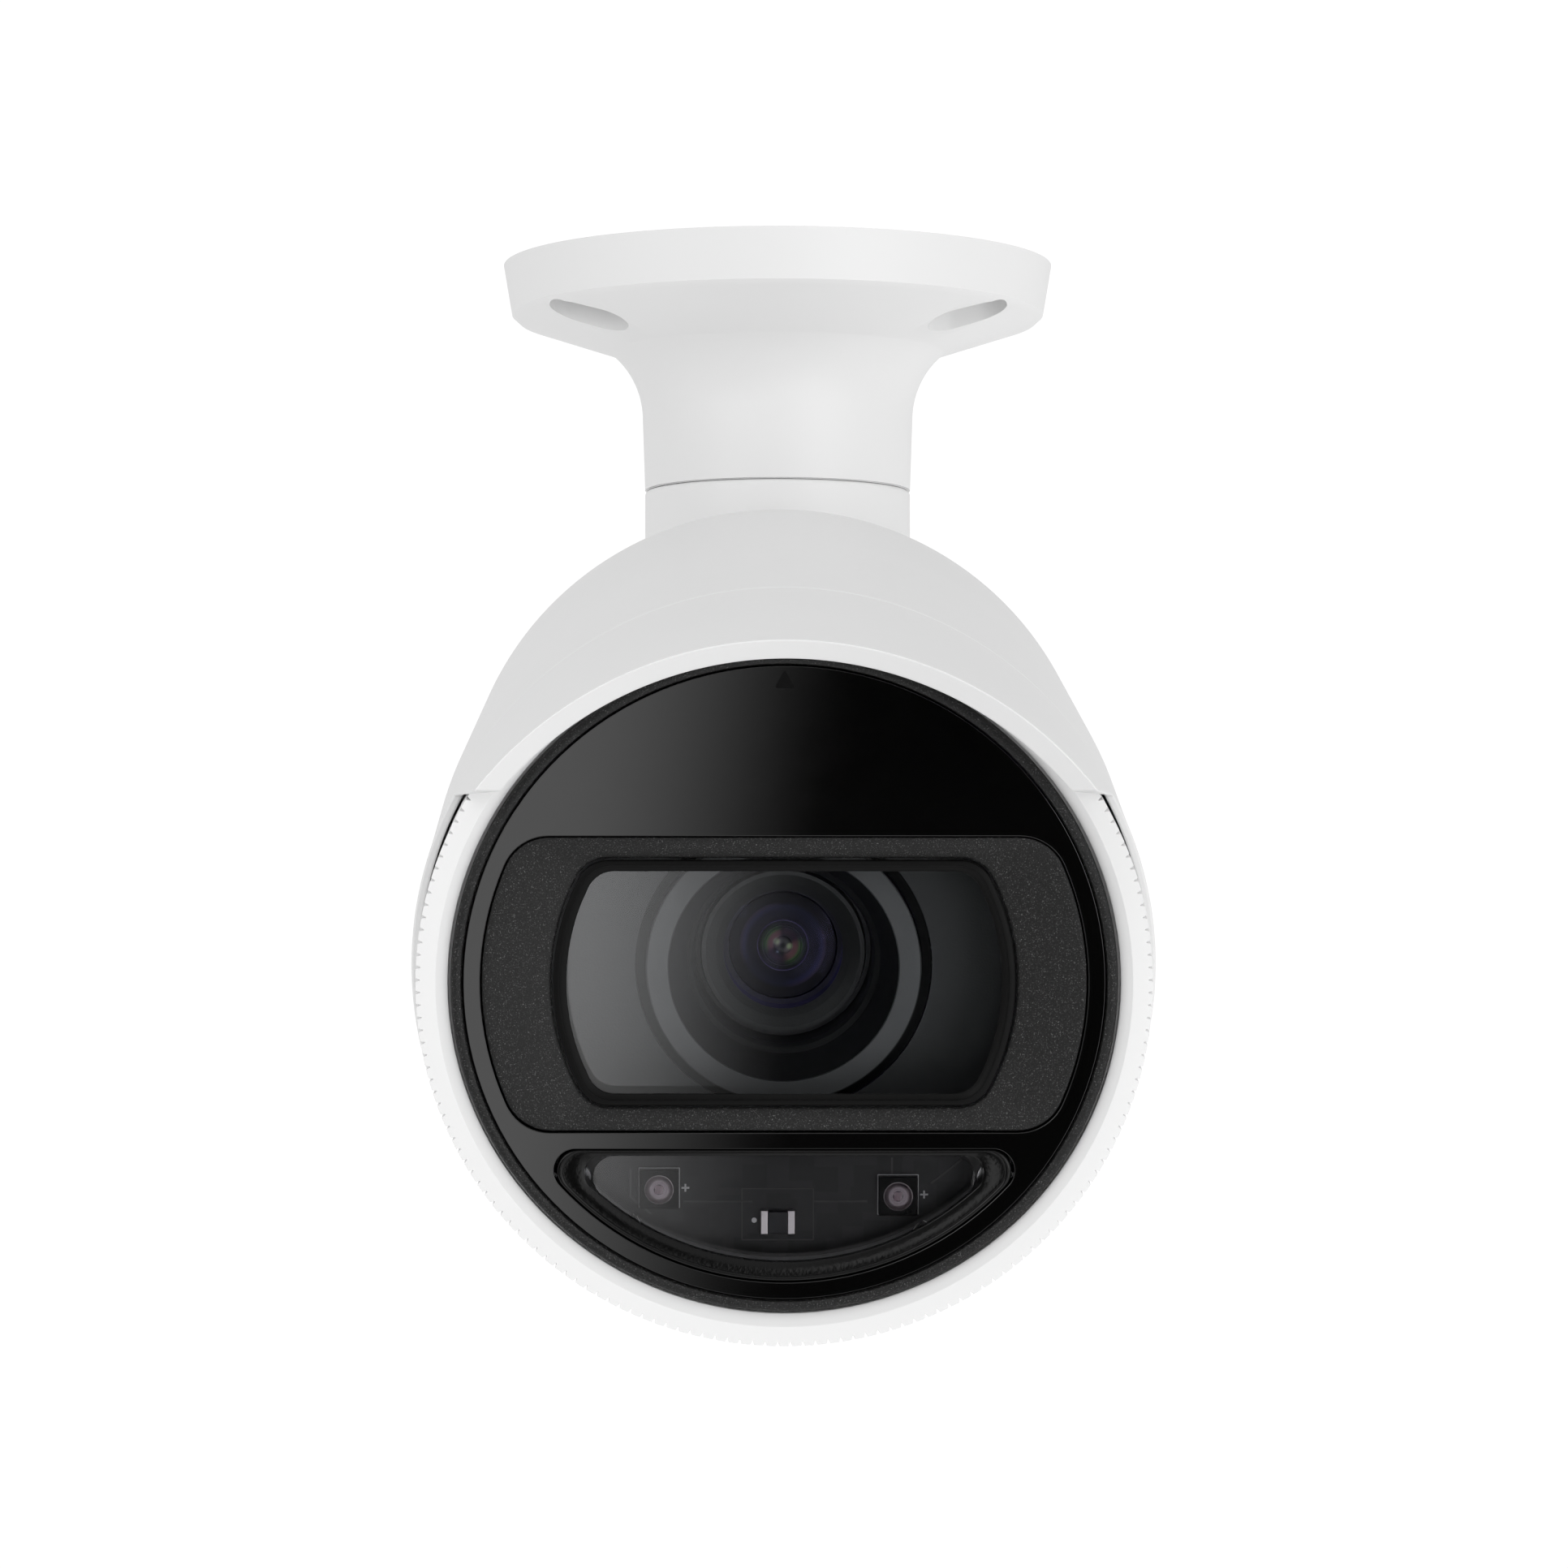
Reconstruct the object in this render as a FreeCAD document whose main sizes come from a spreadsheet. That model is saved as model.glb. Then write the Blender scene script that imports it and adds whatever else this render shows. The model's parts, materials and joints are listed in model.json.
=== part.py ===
"""Ceiling-mounted bullet security camera, built as a jointed assembly.

Frame: the origin is the centre of the flange's ceiling face, +Z is up and the
camera looks towards -Y.  Parts of the head are drawn in the head's own axes:
X to the right, Y backwards along the optical axis from the front ring's
plane, Z up.  They are then tilted nose-down about the tilt bolt.
"""
import FreeCAD, Part
import math
import os
from types import SimpleNamespace

import Sketcher

SIZES = {
    # ceiling mount
    "flange_radius": 39.4, "flange_foot_radius": 38.2, "flange_side_height": 7.05,
    "flange_round": 0.8, "cone_end_radius": 24.1, "cone_end_depth": 12.25,
    "fillet_radius": 12.67, "neck_radius": 19.4, "neck_depth": 22.1,
    "collar_radius": 19.05, "split_depth": 32.25, "split_gap": 0.15,
    "nut_pocket_radius": 22.0, "nut_pocket_depth": 9.0, "spindle_radius": 12.0,
    "running_gap": 0.05, "cable_bore_radius": 6.5,
    "slot_across": 26.55, "slot_along": 18.6, "slot_width": 4.8, "slot_length": 7.9,
    "slot_seat_width": 8.0, "slot_seat_length": 11.1, "slot_web": 3.0,
    # tilt knuckle
    "tilt_depth": 76.9, "knuckle_end_radius": 18.5, "fork_half_gap": 7.8, "fork_roof": 13.8,
    "tongue_half_width": 7.5, "tongue_half_height": 10.5, "eye_radius": 13.0,
    "tilt_bolt_radius": 4.0, "tilt_head_radius": 6.8, "tilt_head_depth": 4.0,
    # head
    "front_reach": 153.0, "rest_tilt": 10.1, "housing_radius": 43.9, "housing_wall": 3.0,
    "housing_front_radius": 43.1, "taper_rear": 60.0,
    "housing_front": 23.0, "housing_rear": 131.5, "rear_round": 4.0,
    "spigot_radius": 39.1, "spigot_bore": 36.5, "spigot_front": 2.6,
    "rear_plate_radius": 33.9, "rear_plate_front": 125.5, "hub_pocket_front": 129.0,
    "hub_radius": 20.0, "hub_rear": 133.7, "hub_shaft_radius": 12.0, "hub_shaft_front": 116.0,
    # sunshield and front ring
    "hood_overhang": 28.0, "hood_lip_radius": 42.3, "hood_inner_lip_radius": 39.9,
    "hood_lip_slope": 3.0, "hood_inner_radius": 41.95, "sleeve_front": 12.0,
    "notch_angle": 52.0, "notch_slope": 8.5, "crease": 0.45,
    "ring_crest_radius": 41.65, "knurl_depth": 0.5, "knurl_count": 180, "ring_rear": 19.4,
    "ring_face_radius": 39.4, "ring_mouth_radius": 38.1, "ring_bevel_depth": 1.3,
    "ring_bore_radius": 39.45,
    # front face
    "trim_radius": 37.75, "trim_bore": 36.4, "plate_front": 0.8, "plate_rear": 4.0,
    "recess_radius": 34.4, "recess_half_height": 17.0, "recess_corner": 5.5,
    "frame_opening_radius": 26.4, "frame_opening_half_height": 14.3, "frame_corner": 4.0,
    "window_radius": 26.2, "window_half_height": 14.1, "window_front": 2.4, "window_rear": 4.6,
    "gasket_opening_radius": 24.7, "gasket_opening_half_height": 12.8,
    "infrared_radius": 34.4, "infrared_chord": 18.9, "infrared_corner": 2.5,
    "infrared_clear_radius": 32.0, "infrared_clear_chord": 19.75,
    "infrared_window_front": 1.4, "infrared_window_rear": 3.2, "infrared_board_front": 6.0,
    "board_thickness": 1.6,
    # lens
    "lens_collar_radius": 15.9, "lens_collar_bore": 13.3, "lens_collar_front": 12.5,
    "lens_cone_radius": 11.3, "lens_cone_depth": 19.0, "barrel_radius": 13.6,
    "barrel_bore": 10.4, "barrel_rear": 62.0, "cell_band_radius": 9.6,
    "cell_front": 23.8, "front_glass_radius": 7.05, "lens_plate_front": 14.2,
    "gear_radius": 18.5, "gear_width": 4.0, "gear_teeth": 60, "pinion_teeth": 12,
    "lens_plate_hole": 17.2, "tooth_depth": 1.0,
}

DOC = FreeCAD.newDocument("SecurityCamera")
X_AXIS = FreeCAD.Vector(1, 0, 0)
Y_AXIS = FreeCAD.Vector(0, 1, 0)
Z_AXIS = FreeCAD.Vector(0, 0, 1)
TURN_TO = {"X": (Y_AXIS, 90), "Y": (X_AXIS, -90), "Z": (Z_AXIS, 0)}
NODES = []


class Size:
    """A length together with the sheet formula that gives it."""

    def __init__(self, value, formula):
        self.value = value
        self.formula = formula

    def __add__(self, other):
        other = as_size(other)
        return Size(self.value + other.value, f"({self.formula} + {other.formula})")

    def __sub__(self, other):
        other = as_size(other)
        return Size(self.value - other.value, f"({self.formula} - {other.formula})")

    def __mul__(self, other):
        other = as_size(other)
        return Size(self.value * other.value, f"({self.formula} * {other.formula})")

    def __truediv__(self, other):
        other = as_size(other)
        return Size(self.value / other.value, f"({self.formula} / {other.formula})")

    def __radd__(self, other):
        return as_size(other) + self

    def __rsub__(self, other):
        return as_size(other) - self

    def __rmul__(self, other):
        return as_size(other) * self

    def __neg__(self):
        return Size(-self.value, f"(-{self.formula})")


def as_size(number):
    """Give a plain number the form of a Size."""
    return number if isinstance(number, Size) else Size(float(number), repr(float(number)))


def make_sheet():
    """Fill the sheet of driving dimensions and return its cells as Sizes."""
    sheet = DOC.addObject("Spreadsheet::Sheet", "Sizes")
    cells = SimpleNamespace()
    for row, (name, value) in enumerate(SIZES.items(), start=1):
        sheet.set(f"A{row}", name)
        sheet.set(f"B{row}", str(value))
        sheet.setAlias(f"B{row}", name)
        setattr(cells, name, Size(float(value), f"Sizes.{name}"))
    DOC.recompute()
    return cells


S = make_sheet()


def bind(target, prop, size):
    """Set one property of an object from a Size."""
    target.setExpression(prop, as_size(size).formula)


def locate(target, at, axis=Z_AXIS, angle=0):
    """Put an object at a point given in Sizes, turned about an axis."""
    point = [as_size(value) for value in at]
    base = FreeCAD.Vector(*[value.value for value in point])
    target.Placement = FreeCAD.Placement(base, FreeCAD.Rotation(axis, angle))
    for letter, value in zip("xyz", point):
        bind(target, f"Placement.Base.{letter}", value)


def rod(name, radius, length, at=(0, 0, 0), along="Y"):
    """A solid cylinder that starts at a point and runs along +X, +Y or +Z."""
    made = DOC.addObject("Part::Cylinder", name)
    bind(made, "Radius", radius)
    bind(made, "Height", length)
    axis, angle = TURN_TO[along]
    locate(made, at, axis, angle)
    return made


def block(name, low, high):
    """A box between two corners."""
    made = DOC.addObject("Part::Box", name)
    for prop, first, last in zip(("Length", "Width", "Height"), low, high):
        bind(made, prop, as_size(last) - as_size(first))
    locate(made, low)
    return made


def ball(name, radius, at):
    """A solid sphere."""
    made = DOC.addObject("Part::Sphere", name)
    bind(made, "Radius", radius)
    locate(made, at)
    return made


def cut(name, base, *tools):
    """Take every tool away from the base."""
    for index, tool in enumerate(tools):
        made = DOC.addObject("Part::Cut", f"{name}_cut_{index}")
        made.Base = base
        made.Tool = tool
        base = made
    return base


def join(name, *shapes):
    """Fuse several shapes into one."""
    made = DOC.addObject("Part::MultiFuse", f"{name}_join")
    made.Shapes = list(shapes)
    return made


def common(name, *shapes):
    """Keep what several shapes share."""
    made = DOC.addObject("Part::MultiCommon", f"{name}_common")
    made.Shapes = list(shapes)
    return made


def group(name, *shapes):
    """Keep several separate solids together as one sub-part."""
    made = DOC.addObject("Part::Compound", f"{name}_group")
    made.Links = list(shapes)
    return made


def arc_geometry(start, end, radius):
    """An arc from start to end; its centre is on the left where radius > 0."""
    chord = end - start
    half = chord.Length / 2
    rise = math.sqrt(radius * radius - half * half)
    left = FreeCAD.Vector(-chord.y, chord.x, 0).normalize()
    centre = (start + end) * 0.5 + left * (rise if radius > 0 else -rise)
    first, last = (start, end) if radius > 0 else (end, start)
    angles = [math.atan2(point.y - centre.y, point.x - centre.x) for point in (first, last)]
    return Part.ArcOfCircle(Part.Circle(centre, Z_AXIS, abs(radius)), *angles)


def draw_outline(sketch, outline):
    """Draw a closed outline in a sketch and bind every corner to the sheet.

    A corner is (across, up), or (across, up, radius) where the edge that leads
    to the corner is an arc.
    """
    corners = [[as_size(value) for value in corner] for corner in outline]
    points = [FreeCAD.Vector(corner[0].value, corner[1].value, 0) for corner in corners]
    starts = []
    ends = []
    for index, point in enumerate(points):
        after = (index + 1) % len(points)
        is_arc = len(corners[after]) == 3
        if is_arc:
            radius = corners[after][2]
            edge = sketch.addGeometry(arc_geometry(point, points[after], radius.value), False)
            flipped = radius.value < 0
            number = sketch.addConstraint(Sketcher.Constraint("Radius", edge, abs(radius.value)))
            bound = -radius if flipped else radius
            sketch.setExpression(f"Constraints[{number}]", bound.formula)
        else:
            edge = sketch.addGeometry(Part.LineSegment(point, points[after]), False)
            flipped = False
        starts.append((edge, 2 if flipped else 1))
        ends.append((edge, 1 if flipped else 2))
    for index, corner in enumerate(corners):
        sketch.addConstraint(Sketcher.Constraint("Coincident", *ends[index - 1], *starts[index]))
        for kind, value in (("DistanceX", corner[0]), ("DistanceY", corner[1])):
            number = sketch.addConstraint(
                Sketcher.Constraint(kind, -1, 1, *starts[index], value.value))
            sketch.setExpression(f"Constraints[{number}]", value.formula)


def new_body(name, plane):
    """A body with an empty sketch on one of its origin planes."""
    body = DOC.addObject("PartDesign::Body", name)
    sketch = body.newObject("Sketcher::SketchObject", f"{name}_sketch")
    base = next(item for item in body.Origin.OriginFeatures if item.Role == plane)
    sketch.AttachmentSupport = [(base, "")]
    sketch.MapMode = "FlatFace"
    return body, sketch


def turned(name, outline, about="Y"):
    """Turn an outline about the head's axis (Y) or the mount's axis (Z).

    About Y, corners are (depth, radius).  About Z, they are (radius, height).
    """
    body, sketch = new_body(name, "YZ_Plane" if about == "Y" else "XZ_Plane")
    draw_outline(sketch, outline)
    turn = body.newObject("PartDesign::Revolution", f"{name}_turn")
    turn.Profile = sketch
    turn.ReferenceAxis = (sketch, ["H_Axis" if about == "Y" else "V_Axis"])
    turn.Angle = 360
    return body


def tube(name, outer, inner, front, rear):
    """A plain sleeve about the head's axis."""
    return turned(name, [(front, inner), (rear, inner), (rear, outer), (front, outer)])


def slab(name, radius, half_height, front, rear):
    """A disc across the head's axis with flats above and below."""
    disc = rod(f"{name}_disc", radius, as_size(rear) - front, (0, front, 0))
    band = block(f"{name}_band", (-radius, front, -half_height), (radius, rear, half_height))
    return common(name, disc, band)


def segment(name, radius, chord, front, rear):
    """The part of a disc that lies below a horizontal chord."""
    disc = rod(f"{name}_disc", radius, as_size(rear) - front, (0, front, 0))
    low = block(f"{name}_low", (-radius, front, -radius), (radius, rear, -chord))
    return common(name, disc, low)


def soften(name, base, radius):
    """Round the corners whose edges run along the head's axis."""
    DOC.recompute()
    chosen = []
    for number, edge in enumerate(base.Shape.Edges, start=1):
        straight = isinstance(edge.Curve, Part.Line)
        if straight and abs(edge.tangentAt(edge.FirstParameter).y) > 0.999:
            chosen.append((number, radius.value, radius.value))
    made = DOC.addObject("Part::Fillet", f"{name}_soft")
    made.Base = base
    made.Edges = chosen
    return made


def deliver(label, shape, head=False):
    """Name a finished sub-part; parts of the head take the head's place."""
    if shape.TypeId in ("Part::Box", "Part::Cylinder"):
        shape = group(label, shape)
    shape.Label = label
    if head:
        reach = S.front_reach
        tilt = S.rest_tilt
        turn = math.radians(tilt.value)
        base = FreeCAD.Vector(0, -reach.value * math.cos(turn),
                              -S.tilt_depth.value - reach.value * math.sin(turn))
        shape.Placement = FreeCAD.Placement(base, FreeCAD.Rotation(X_AXIS, tilt.value))
        bind(shape, "Placement.Rotation.Angle", tilt)
        shape.setExpression("Placement.Base.y", f"-{reach.formula} * cos({tilt.formula})")
        shape.setExpression(
            "Placement.Base.z",
            f"-{S.tilt_depth.formula} - {reach.formula} * sin({tilt.formula})")
    NODES.append(shape)
    return shape


# ---------------------------------------------------------------- ceiling mount

def make_mount_base():
    """Flange and neck, hollow for the pan nut, with four fixing slots."""
    rim = S.flange_radius
    foot = S.flange_foot_radius
    drop = S.flange_side_height
    edge = S.flange_round
    neck_round = 0.8
    body = turned("mount_turned", [
        (S.nut_pocket_radius, 0), (rim - edge, 0), (rim, -edge, -edge), (foot, -drop),
        (foot - 1.0, -drop - 0.9, -1.0), (S.cone_end_radius, -S.cone_end_depth),
        (S.neck_radius, -S.neck_depth, S.fillet_radius),
        (S.collar_radius, -S.split_depth + neck_round),
        (S.collar_radius - neck_round, -S.split_depth, -neck_round),
        (S.spindle_radius + S.running_gap, -S.split_depth),
        (S.spindle_radius + S.running_gap, -S.nut_pocket_depth),
        (S.nut_pocket_radius, -S.nut_pocket_depth)], about="Z")
    slots = [fixing_slot(across, along) for across in (-1, 1) for along in (-1, 1)]
    screw_depth = -S.split_depth + 6.0
    lock_hole = rod("lock_hole", 1.55, 12.0, (0, 11.0, screw_depth))
    deliver("mount_base", cut("mount_base", body, *slots, lock_hole))
    grub = rod("lock_grub", 1.5, 6.2, (0, S.spindle_radius + 0.3, screw_depth))
    key = rod("lock_key", 0.8, 2.0, (0, S.spindle_radius + 4.8, screw_depth))
    deliver("pan_lock_screw", cut("pan_lock_screw", grub, key))


def round_ended(name, width, length, centre, tall):
    """An upright bar with round ends, long along X."""
    half = width / 2
    reach = (length - width) / 2
    x, y, z = centre
    bar = block(f"{name}_bar", (x - reach, y - half, z), (x + reach, y + half, z + tall))
    ends = [rod(f"{name}_end", half, tall, (x + reach * way, y, z), "Z") for way in (-1, 1)]
    return join(name, bar, *ends)


def fixing_slot(across, along):
    """One slot through the flange's web, with a seat for the screw's head below."""
    x = S.slot_across * across
    y = S.slot_along * along
    below = -S.cone_end_depth - 4.0
    through = round_ended("slot", S.slot_width, S.slot_length, (x, y, below), 1.0 - below)
    seat = round_ended("slot_seat", S.slot_seat_width, S.slot_seat_length, (x, y, below),
                       -S.slot_web - below)
    return join("fixing_slot", through, seat)


def make_pan_knuckle():
    """Spindle, collar and fork that carry the head on the tilt bolt."""
    shoulder = -S.split_depth - S.split_gap
    radius = S.collar_radius
    edge = 0.7
    bottom = -S.tilt_depth - 20.0
    body = turned("knuckle_turned", [
        (S.cable_bore_radius, -2.5), (S.spindle_radius, -2.5), (S.spindle_radius, shoulder),
        (radius - edge, shoulder), (radius, shoulder - edge, -edge), (radius, bottom),
        (S.cable_bore_radius, bottom)], about="Z")
    wide = 25.0
    round_end = rod("fork_end", S.knuckle_end_radius, 2 * wide, (-wide, 0, -S.tilt_depth), "X")
    above = block("fork_above", (-wide, -wide, -S.tilt_depth), (wide, wide, 0))
    kept = common("knuckle_round", body, join("fork_keep", round_end, above))
    half = S.fork_half_gap
    gap = block("fork_gap", (-half, -wide, bottom - 5), (half, wide, S.fork_roof - S.tilt_depth))
    seat = S.tilt_head_depth
    bore = rod("bolt_bore", S.tilt_bolt_radius + S.running_gap, 50.0, (-wide, 0, -S.tilt_depth), "X")
    face = radius - seat - 0.9
    head_seat = rod("head_seat", S.tilt_head_radius + 0.2, 10.0, (face, 0, -S.tilt_depth), "X")
    nut_seat = rod("nut_seat", S.tilt_head_radius + 0.2, 10.0, (-face - 10.0, 0, -S.tilt_depth), "X")
    deliver("pan_knuckle", cut("pan_knuckle", kept, gap, bore, head_seat, nut_seat))
    shank = rod("bolt_shank", S.tilt_bolt_radius, 2 * face + 2.8, (-face - 2.8, 0, -S.tilt_depth), "X")
    cap = rod("bolt_cap", S.tilt_head_radius, seat, (face, 0, -S.tilt_depth), "X")
    socket = hexagon("bolt_socket", 2.9, 2.4, (face + seat - 2.4, 0, -S.tilt_depth), "X")
    deliver("tilt_bolt", cut("tilt_bolt", join("tilt_bolt", shank, cap), socket))
    nut = hexagon("nut_hex", S.tilt_head_radius - 0.2, 3.4, (-face - 3.4, 0, -S.tilt_depth), "X")
    thread = rod("nut_thread", S.tilt_bolt_radius, 8.0, (-face - 6.0, 0, -S.tilt_depth), "X")
    deliver("tilt_nut", cut("tilt_nut", nut, thread))


def hexagon(name, radius, length, at, along):
    """A hexagonal bar that starts at a point and runs along an axis."""
    made = DOC.addObject("Part::Prism", name)
    made.Polygon = 6
    bind(made, "Circumradius", radius)
    bind(made, "Height", length)
    axis, angle = TURN_TO[along]
    locate(made, at, axis, angle)
    return made


def make_pan_fixings():
    """Wave washer and nut that hold the spindle in the mount."""
    floor = -S.nut_pocket_depth + S.running_gap
    bore = S.spindle_radius
    disc = rod("pan_disc", 19.5, 1.2, (0, 0, floor), "Z")
    hole = rod("pan_disc_hole", bore, 6.0, (0, 0, floor - 2), "Z")
    deliver("pan_washer", cut("pan_washer", disc, hole))
    nut = hexagon("pan_hex", 18.8, 4.0, (0, 0, floor + 1.2), "Z")
    thread = rod("pan_thread", bore, 8.0, (0, 0, floor), "Z")
    deliver("pan_nut", cut("pan_nut", nut, thread))


# ---------------------------------------------------------------- tilt and swivel

def make_swivel():
    """Tongue and hub: it tilts on the bolt, and the head turns on its shaft."""
    bore = 5.5
    shaft = S.hub_shaft_radius
    back = S.front_reach
    hub = turned("hub_turned", [
        (S.hub_shaft_front, bore), (S.hub_rear, bore), (S.hub_rear, S.hub_radius),
        (S.hub_pocket_front + S.running_gap, S.hub_radius),
        (S.hub_pocket_front + S.running_gap, shaft), (S.hub_shaft_front, shaft)])
    wide = S.tongue_half_width
    tall = S.tongue_half_height
    tongue = block("tongue", (-wide, S.hub_rear - 2.0, -tall), (wide, back, tall))
    eye = rod("eye", S.eye_radius, 2 * wide, (-wide, back, 0), "X")
    pin = rod("eye_bore", S.tilt_bolt_radius + S.running_gap, 30.0, (-15.0, back, 0), "X")
    passage = rod("cable_passage", bore, back - 8.0 - S.hub_shaft_front, (0, S.hub_shaft_front, 0))
    outlet = block("cable_outlet", (-bore, S.hub_rear + 1.0, 0), (bore, back - 8.0, 15.0))
    deliver("swivel_hub", cut("swivel_hub", join("swivel_hub", hub, tongue, eye),
                              pin, passage, outlet), head=True)
    washer_rear = S.rear_plate_front - S.running_gap
    deliver("swivel_washer", tube("swivel_washer", 17.0, shaft, washer_rear - 1.0, washer_rear), True)
    nut = hexagon("swivel_hex", 17.5, 4.0, (0, washer_rear - 5.0, 0), "Y")
    thread = rod("swivel_thread", shaft, 8.0, (0, washer_rear - 7.0, 0))
    deliver("swivel_nut", cut("swivel_nut", nut, thread), True)


# ---------------------------------------------------------------- head casing

def make_housing():
    """Main tube with the front spigot and a ledge for the rear plate."""
    outer = S.housing_radius
    inner = outer - S.housing_wall
    front = S.housing_front
    rear = S.housing_rear
    edge = S.rear_round
    ledge = S.rear_plate_front
    seal_seat = S.plate_rear + 1.0
    shell = turned("housing_turned", [
        (S.spigot_front, S.spigot_bore), (S.spigot_front, S.spigot_radius),
        (front, S.spigot_radius), (front, S.housing_front_radius - S.crease),
        (front + S.crease, S.housing_front_radius), (S.taper_rear, outer),
        (rear - edge, outer), (rear, outer - edge, -edge), (rear, S.rear_plate_radius + 0.1),
        (ledge, S.rear_plate_radius + 0.1), (ledge, 26.0), (ledge - 3.0, 26.0),
        (ledge - 3.0, inner), (front + 3.5, inner), (front + 3.5, 35.3), (seal_seat, 35.3),
        (seal_seat, S.spigot_bore)])
    holes = [rod("plate_screw_hole", 1.55, 8.0, (x, ledge - 5.0, z)) for x, z in screw_places()]
    hatch = hatch_block("hatch_hole", 0.15, 7.0)
    deliver("housing_shell", cut("housing_shell", shell, *holes, hatch), True)


def screw_places():
    """Centres of the four rear plate screws."""
    pitch = 29.7
    turns = [math.radians(45 + 90 * count) for count in range(4)]
    return [(pitch * math.cos(turn), pitch * math.sin(turn)) for turn in turns]


def hatch_block(name, margin, depth):
    """The block that bounds the service hatch under the housing."""
    low = -S.housing_radius - 2.0
    return block(name, (-12.0 - margin, 76.0 - margin, low),
                 (12.0 + margin, 116.0 + margin, low + 2.0 + depth))


def make_hatch():
    """Service hatch flush with the underside, its gasket and two screws."""
    outer = S.housing_radius
    inner = outer - S.housing_wall
    skin = tube("hatch_skin", outer, inner + 0.6, 70.0, 120.0)
    cover = common("hatch", skin, hatch_block("hatch_body", 0, 7.0))
    depths = (79.5, 112.5)
    holes = [rod("hatch_hole", 1.3, 9.0, (0, depth, -outer - 2.0), "Z") for depth in depths]
    seats = [rod("hatch_seat", 2.3, 2.0, (0, depth, -outer - 0.8), "Z") for depth in depths]
    deliver("service_hatch", cut("service_hatch", cover, *holes, *seats), True)
    shanks = [rod("hatch_shank", 1.2, 3.6, (0, depth, -outer + 0.5), "Z") for depth in depths]
    heads = [rod("hatch_head", 2.2, 1.0, (0, depth, -outer + 0.2), "Z") for depth in depths]
    keys = [rod("hatch_key", 0.8, 1.0, (0, depth, -outer - 0.2), "Z") for depth in depths]
    screws = [cut("hatch_screw", join("hatch_screw", *pair[:2]), pair[2])
              for pair in zip(shanks, heads, keys)]
    deliver("hatch_screws", group("hatch_screws", *screws), True)


def make_rear_plate():
    """Rear closing plate, its seal and screws."""
    ledge = S.rear_plate_front
    rear = S.housing_rear
    edge = S.rear_plate_radius
    shaft = S.hub_shaft_radius + S.running_gap
    pocket = S.hub_radius + 0.3
    seal = 0.8
    plate = turned("rear_turned", [
        (ledge, shaft), (S.hub_pocket_front, shaft), (S.hub_pocket_front, pocket),
        (rear, pocket), (rear, edge - 0.6), (rear - 0.6, edge), (ledge, edge)])
    tools = []
    screws = []
    for x, z in screw_places():
        tools.append(rod("rear_hole", 1.55, 12.0, (x, ledge - 2.0, z)))
        tools.append(rod("rear_seat", 2.9, 4.0, (x, rear - 2.2, z)))
        shank = rod("rear_shank", 1.5, rear - 2.2 - ledge + 2.5, (x, ledge - 2.5, z))
        head = rod("rear_head", 2.8, 2.0, (x, rear - 2.2, z))
        key = rod("rear_key", 1.0, 3.0, (x, rear - 1.5, z))
        screws.append(cut("rear_screw", join("rear_screw", shank, head), key))
    groove = tube("rear_groove", 26.0, 24.0, ledge - 1.0, ledge + seal)
    deliver("rear_plate", cut("rear_plate", plate, groove, *tools), True)
    deliver("rear_plate_screws", group("rear_plate_screws", *screws), True)
    deliver("swivel_seal", tube("swivel_seal", 25.9, 24.1, ledge - 0.6, ledge + seal), True)


def make_front_hood():
    """Sunshield visor on a sleeve that meets the housing at a crease."""
    top = S.housing_front_radius
    front = S.sleeve_front
    rear = S.housing_front
    bore = S.hood_inner_radius
    edge = 0.9
    slope = (top - S.hood_lip_radius) / (S.hood_overhang + rear)
    lip = -S.hood_overhang
    root = front + 3.0
    visor = turned("visor_turned", [
        (lip, S.hood_lip_radius), (root, S.hood_lip_radius + slope * (root - lip)), (root, bore),
        (0, bore), (lip + S.hood_lip_slope, S.hood_inner_lip_radius)])
    level = S.hood_lip_radius.value * math.cos(math.radians(S.notch_angle.value))
    fall = math.tan(math.radians(S.notch_slope.value))
    corner = (-60, lip - 20.0, level + 20.0 * fall)
    upper = block("visor_upper", corner, (60, root + 20.0, 80))
    locate(upper, corner, X_AXIS, -S.notch_slope.value)
    front_radius = S.hood_lip_radius + slope * (front + edge - lip)
    sleeve = turned("sleeve_turned", [
        (front, bore), (front, front_radius - edge), (front + edge, front_radius, -edge),
        (rear - S.crease, top), (rear, top - S.crease), (rear, S.spigot_radius + 0.1),
        (rear - 2.8, S.spigot_radius + 0.1), (rear - 2.8, bore)])
    deliver("front_hood", join("front_hood", common("visor", visor, upper), sleeve), True)


def star_prism(name, root, tip, teeth, shape, front, rear, at=(0, 0), phase=0.0):
    """A toothed bar along the head's axis, as one extruded outline.

    The shape is the half widths of a crest and of a valley, as parts of the pitch.
    """
    crest, valley = shape
    points = []
    pitch = 2 * math.pi / teeth
    for tooth in range(teeth):
        middle = pitch * (tooth + phase)
        for offset, radius in ((valley - 0.5, root), (-crest, tip), (crest, tip), (0.5 - valley, root)):
            turn = middle + offset * pitch
            points.append(FreeCAD.Vector(at[0] + radius * math.sin(turn), front,
                                         at[1] + radius * math.cos(turn)))
    wire = DOC.addObject("Part::Feature", f"{name}_outline")
    wire.Shape = Part.makePolygon(points + points[:1])
    bar = DOC.addObject("Part::Extrusion", f"{name}_bar")
    bar.Base = wire
    bar.DirMode = "Custom"
    bar.Dir = Y_AXIS
    bar.LengthFwd = rear - front
    bar.Solid = True
    return bar


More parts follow.
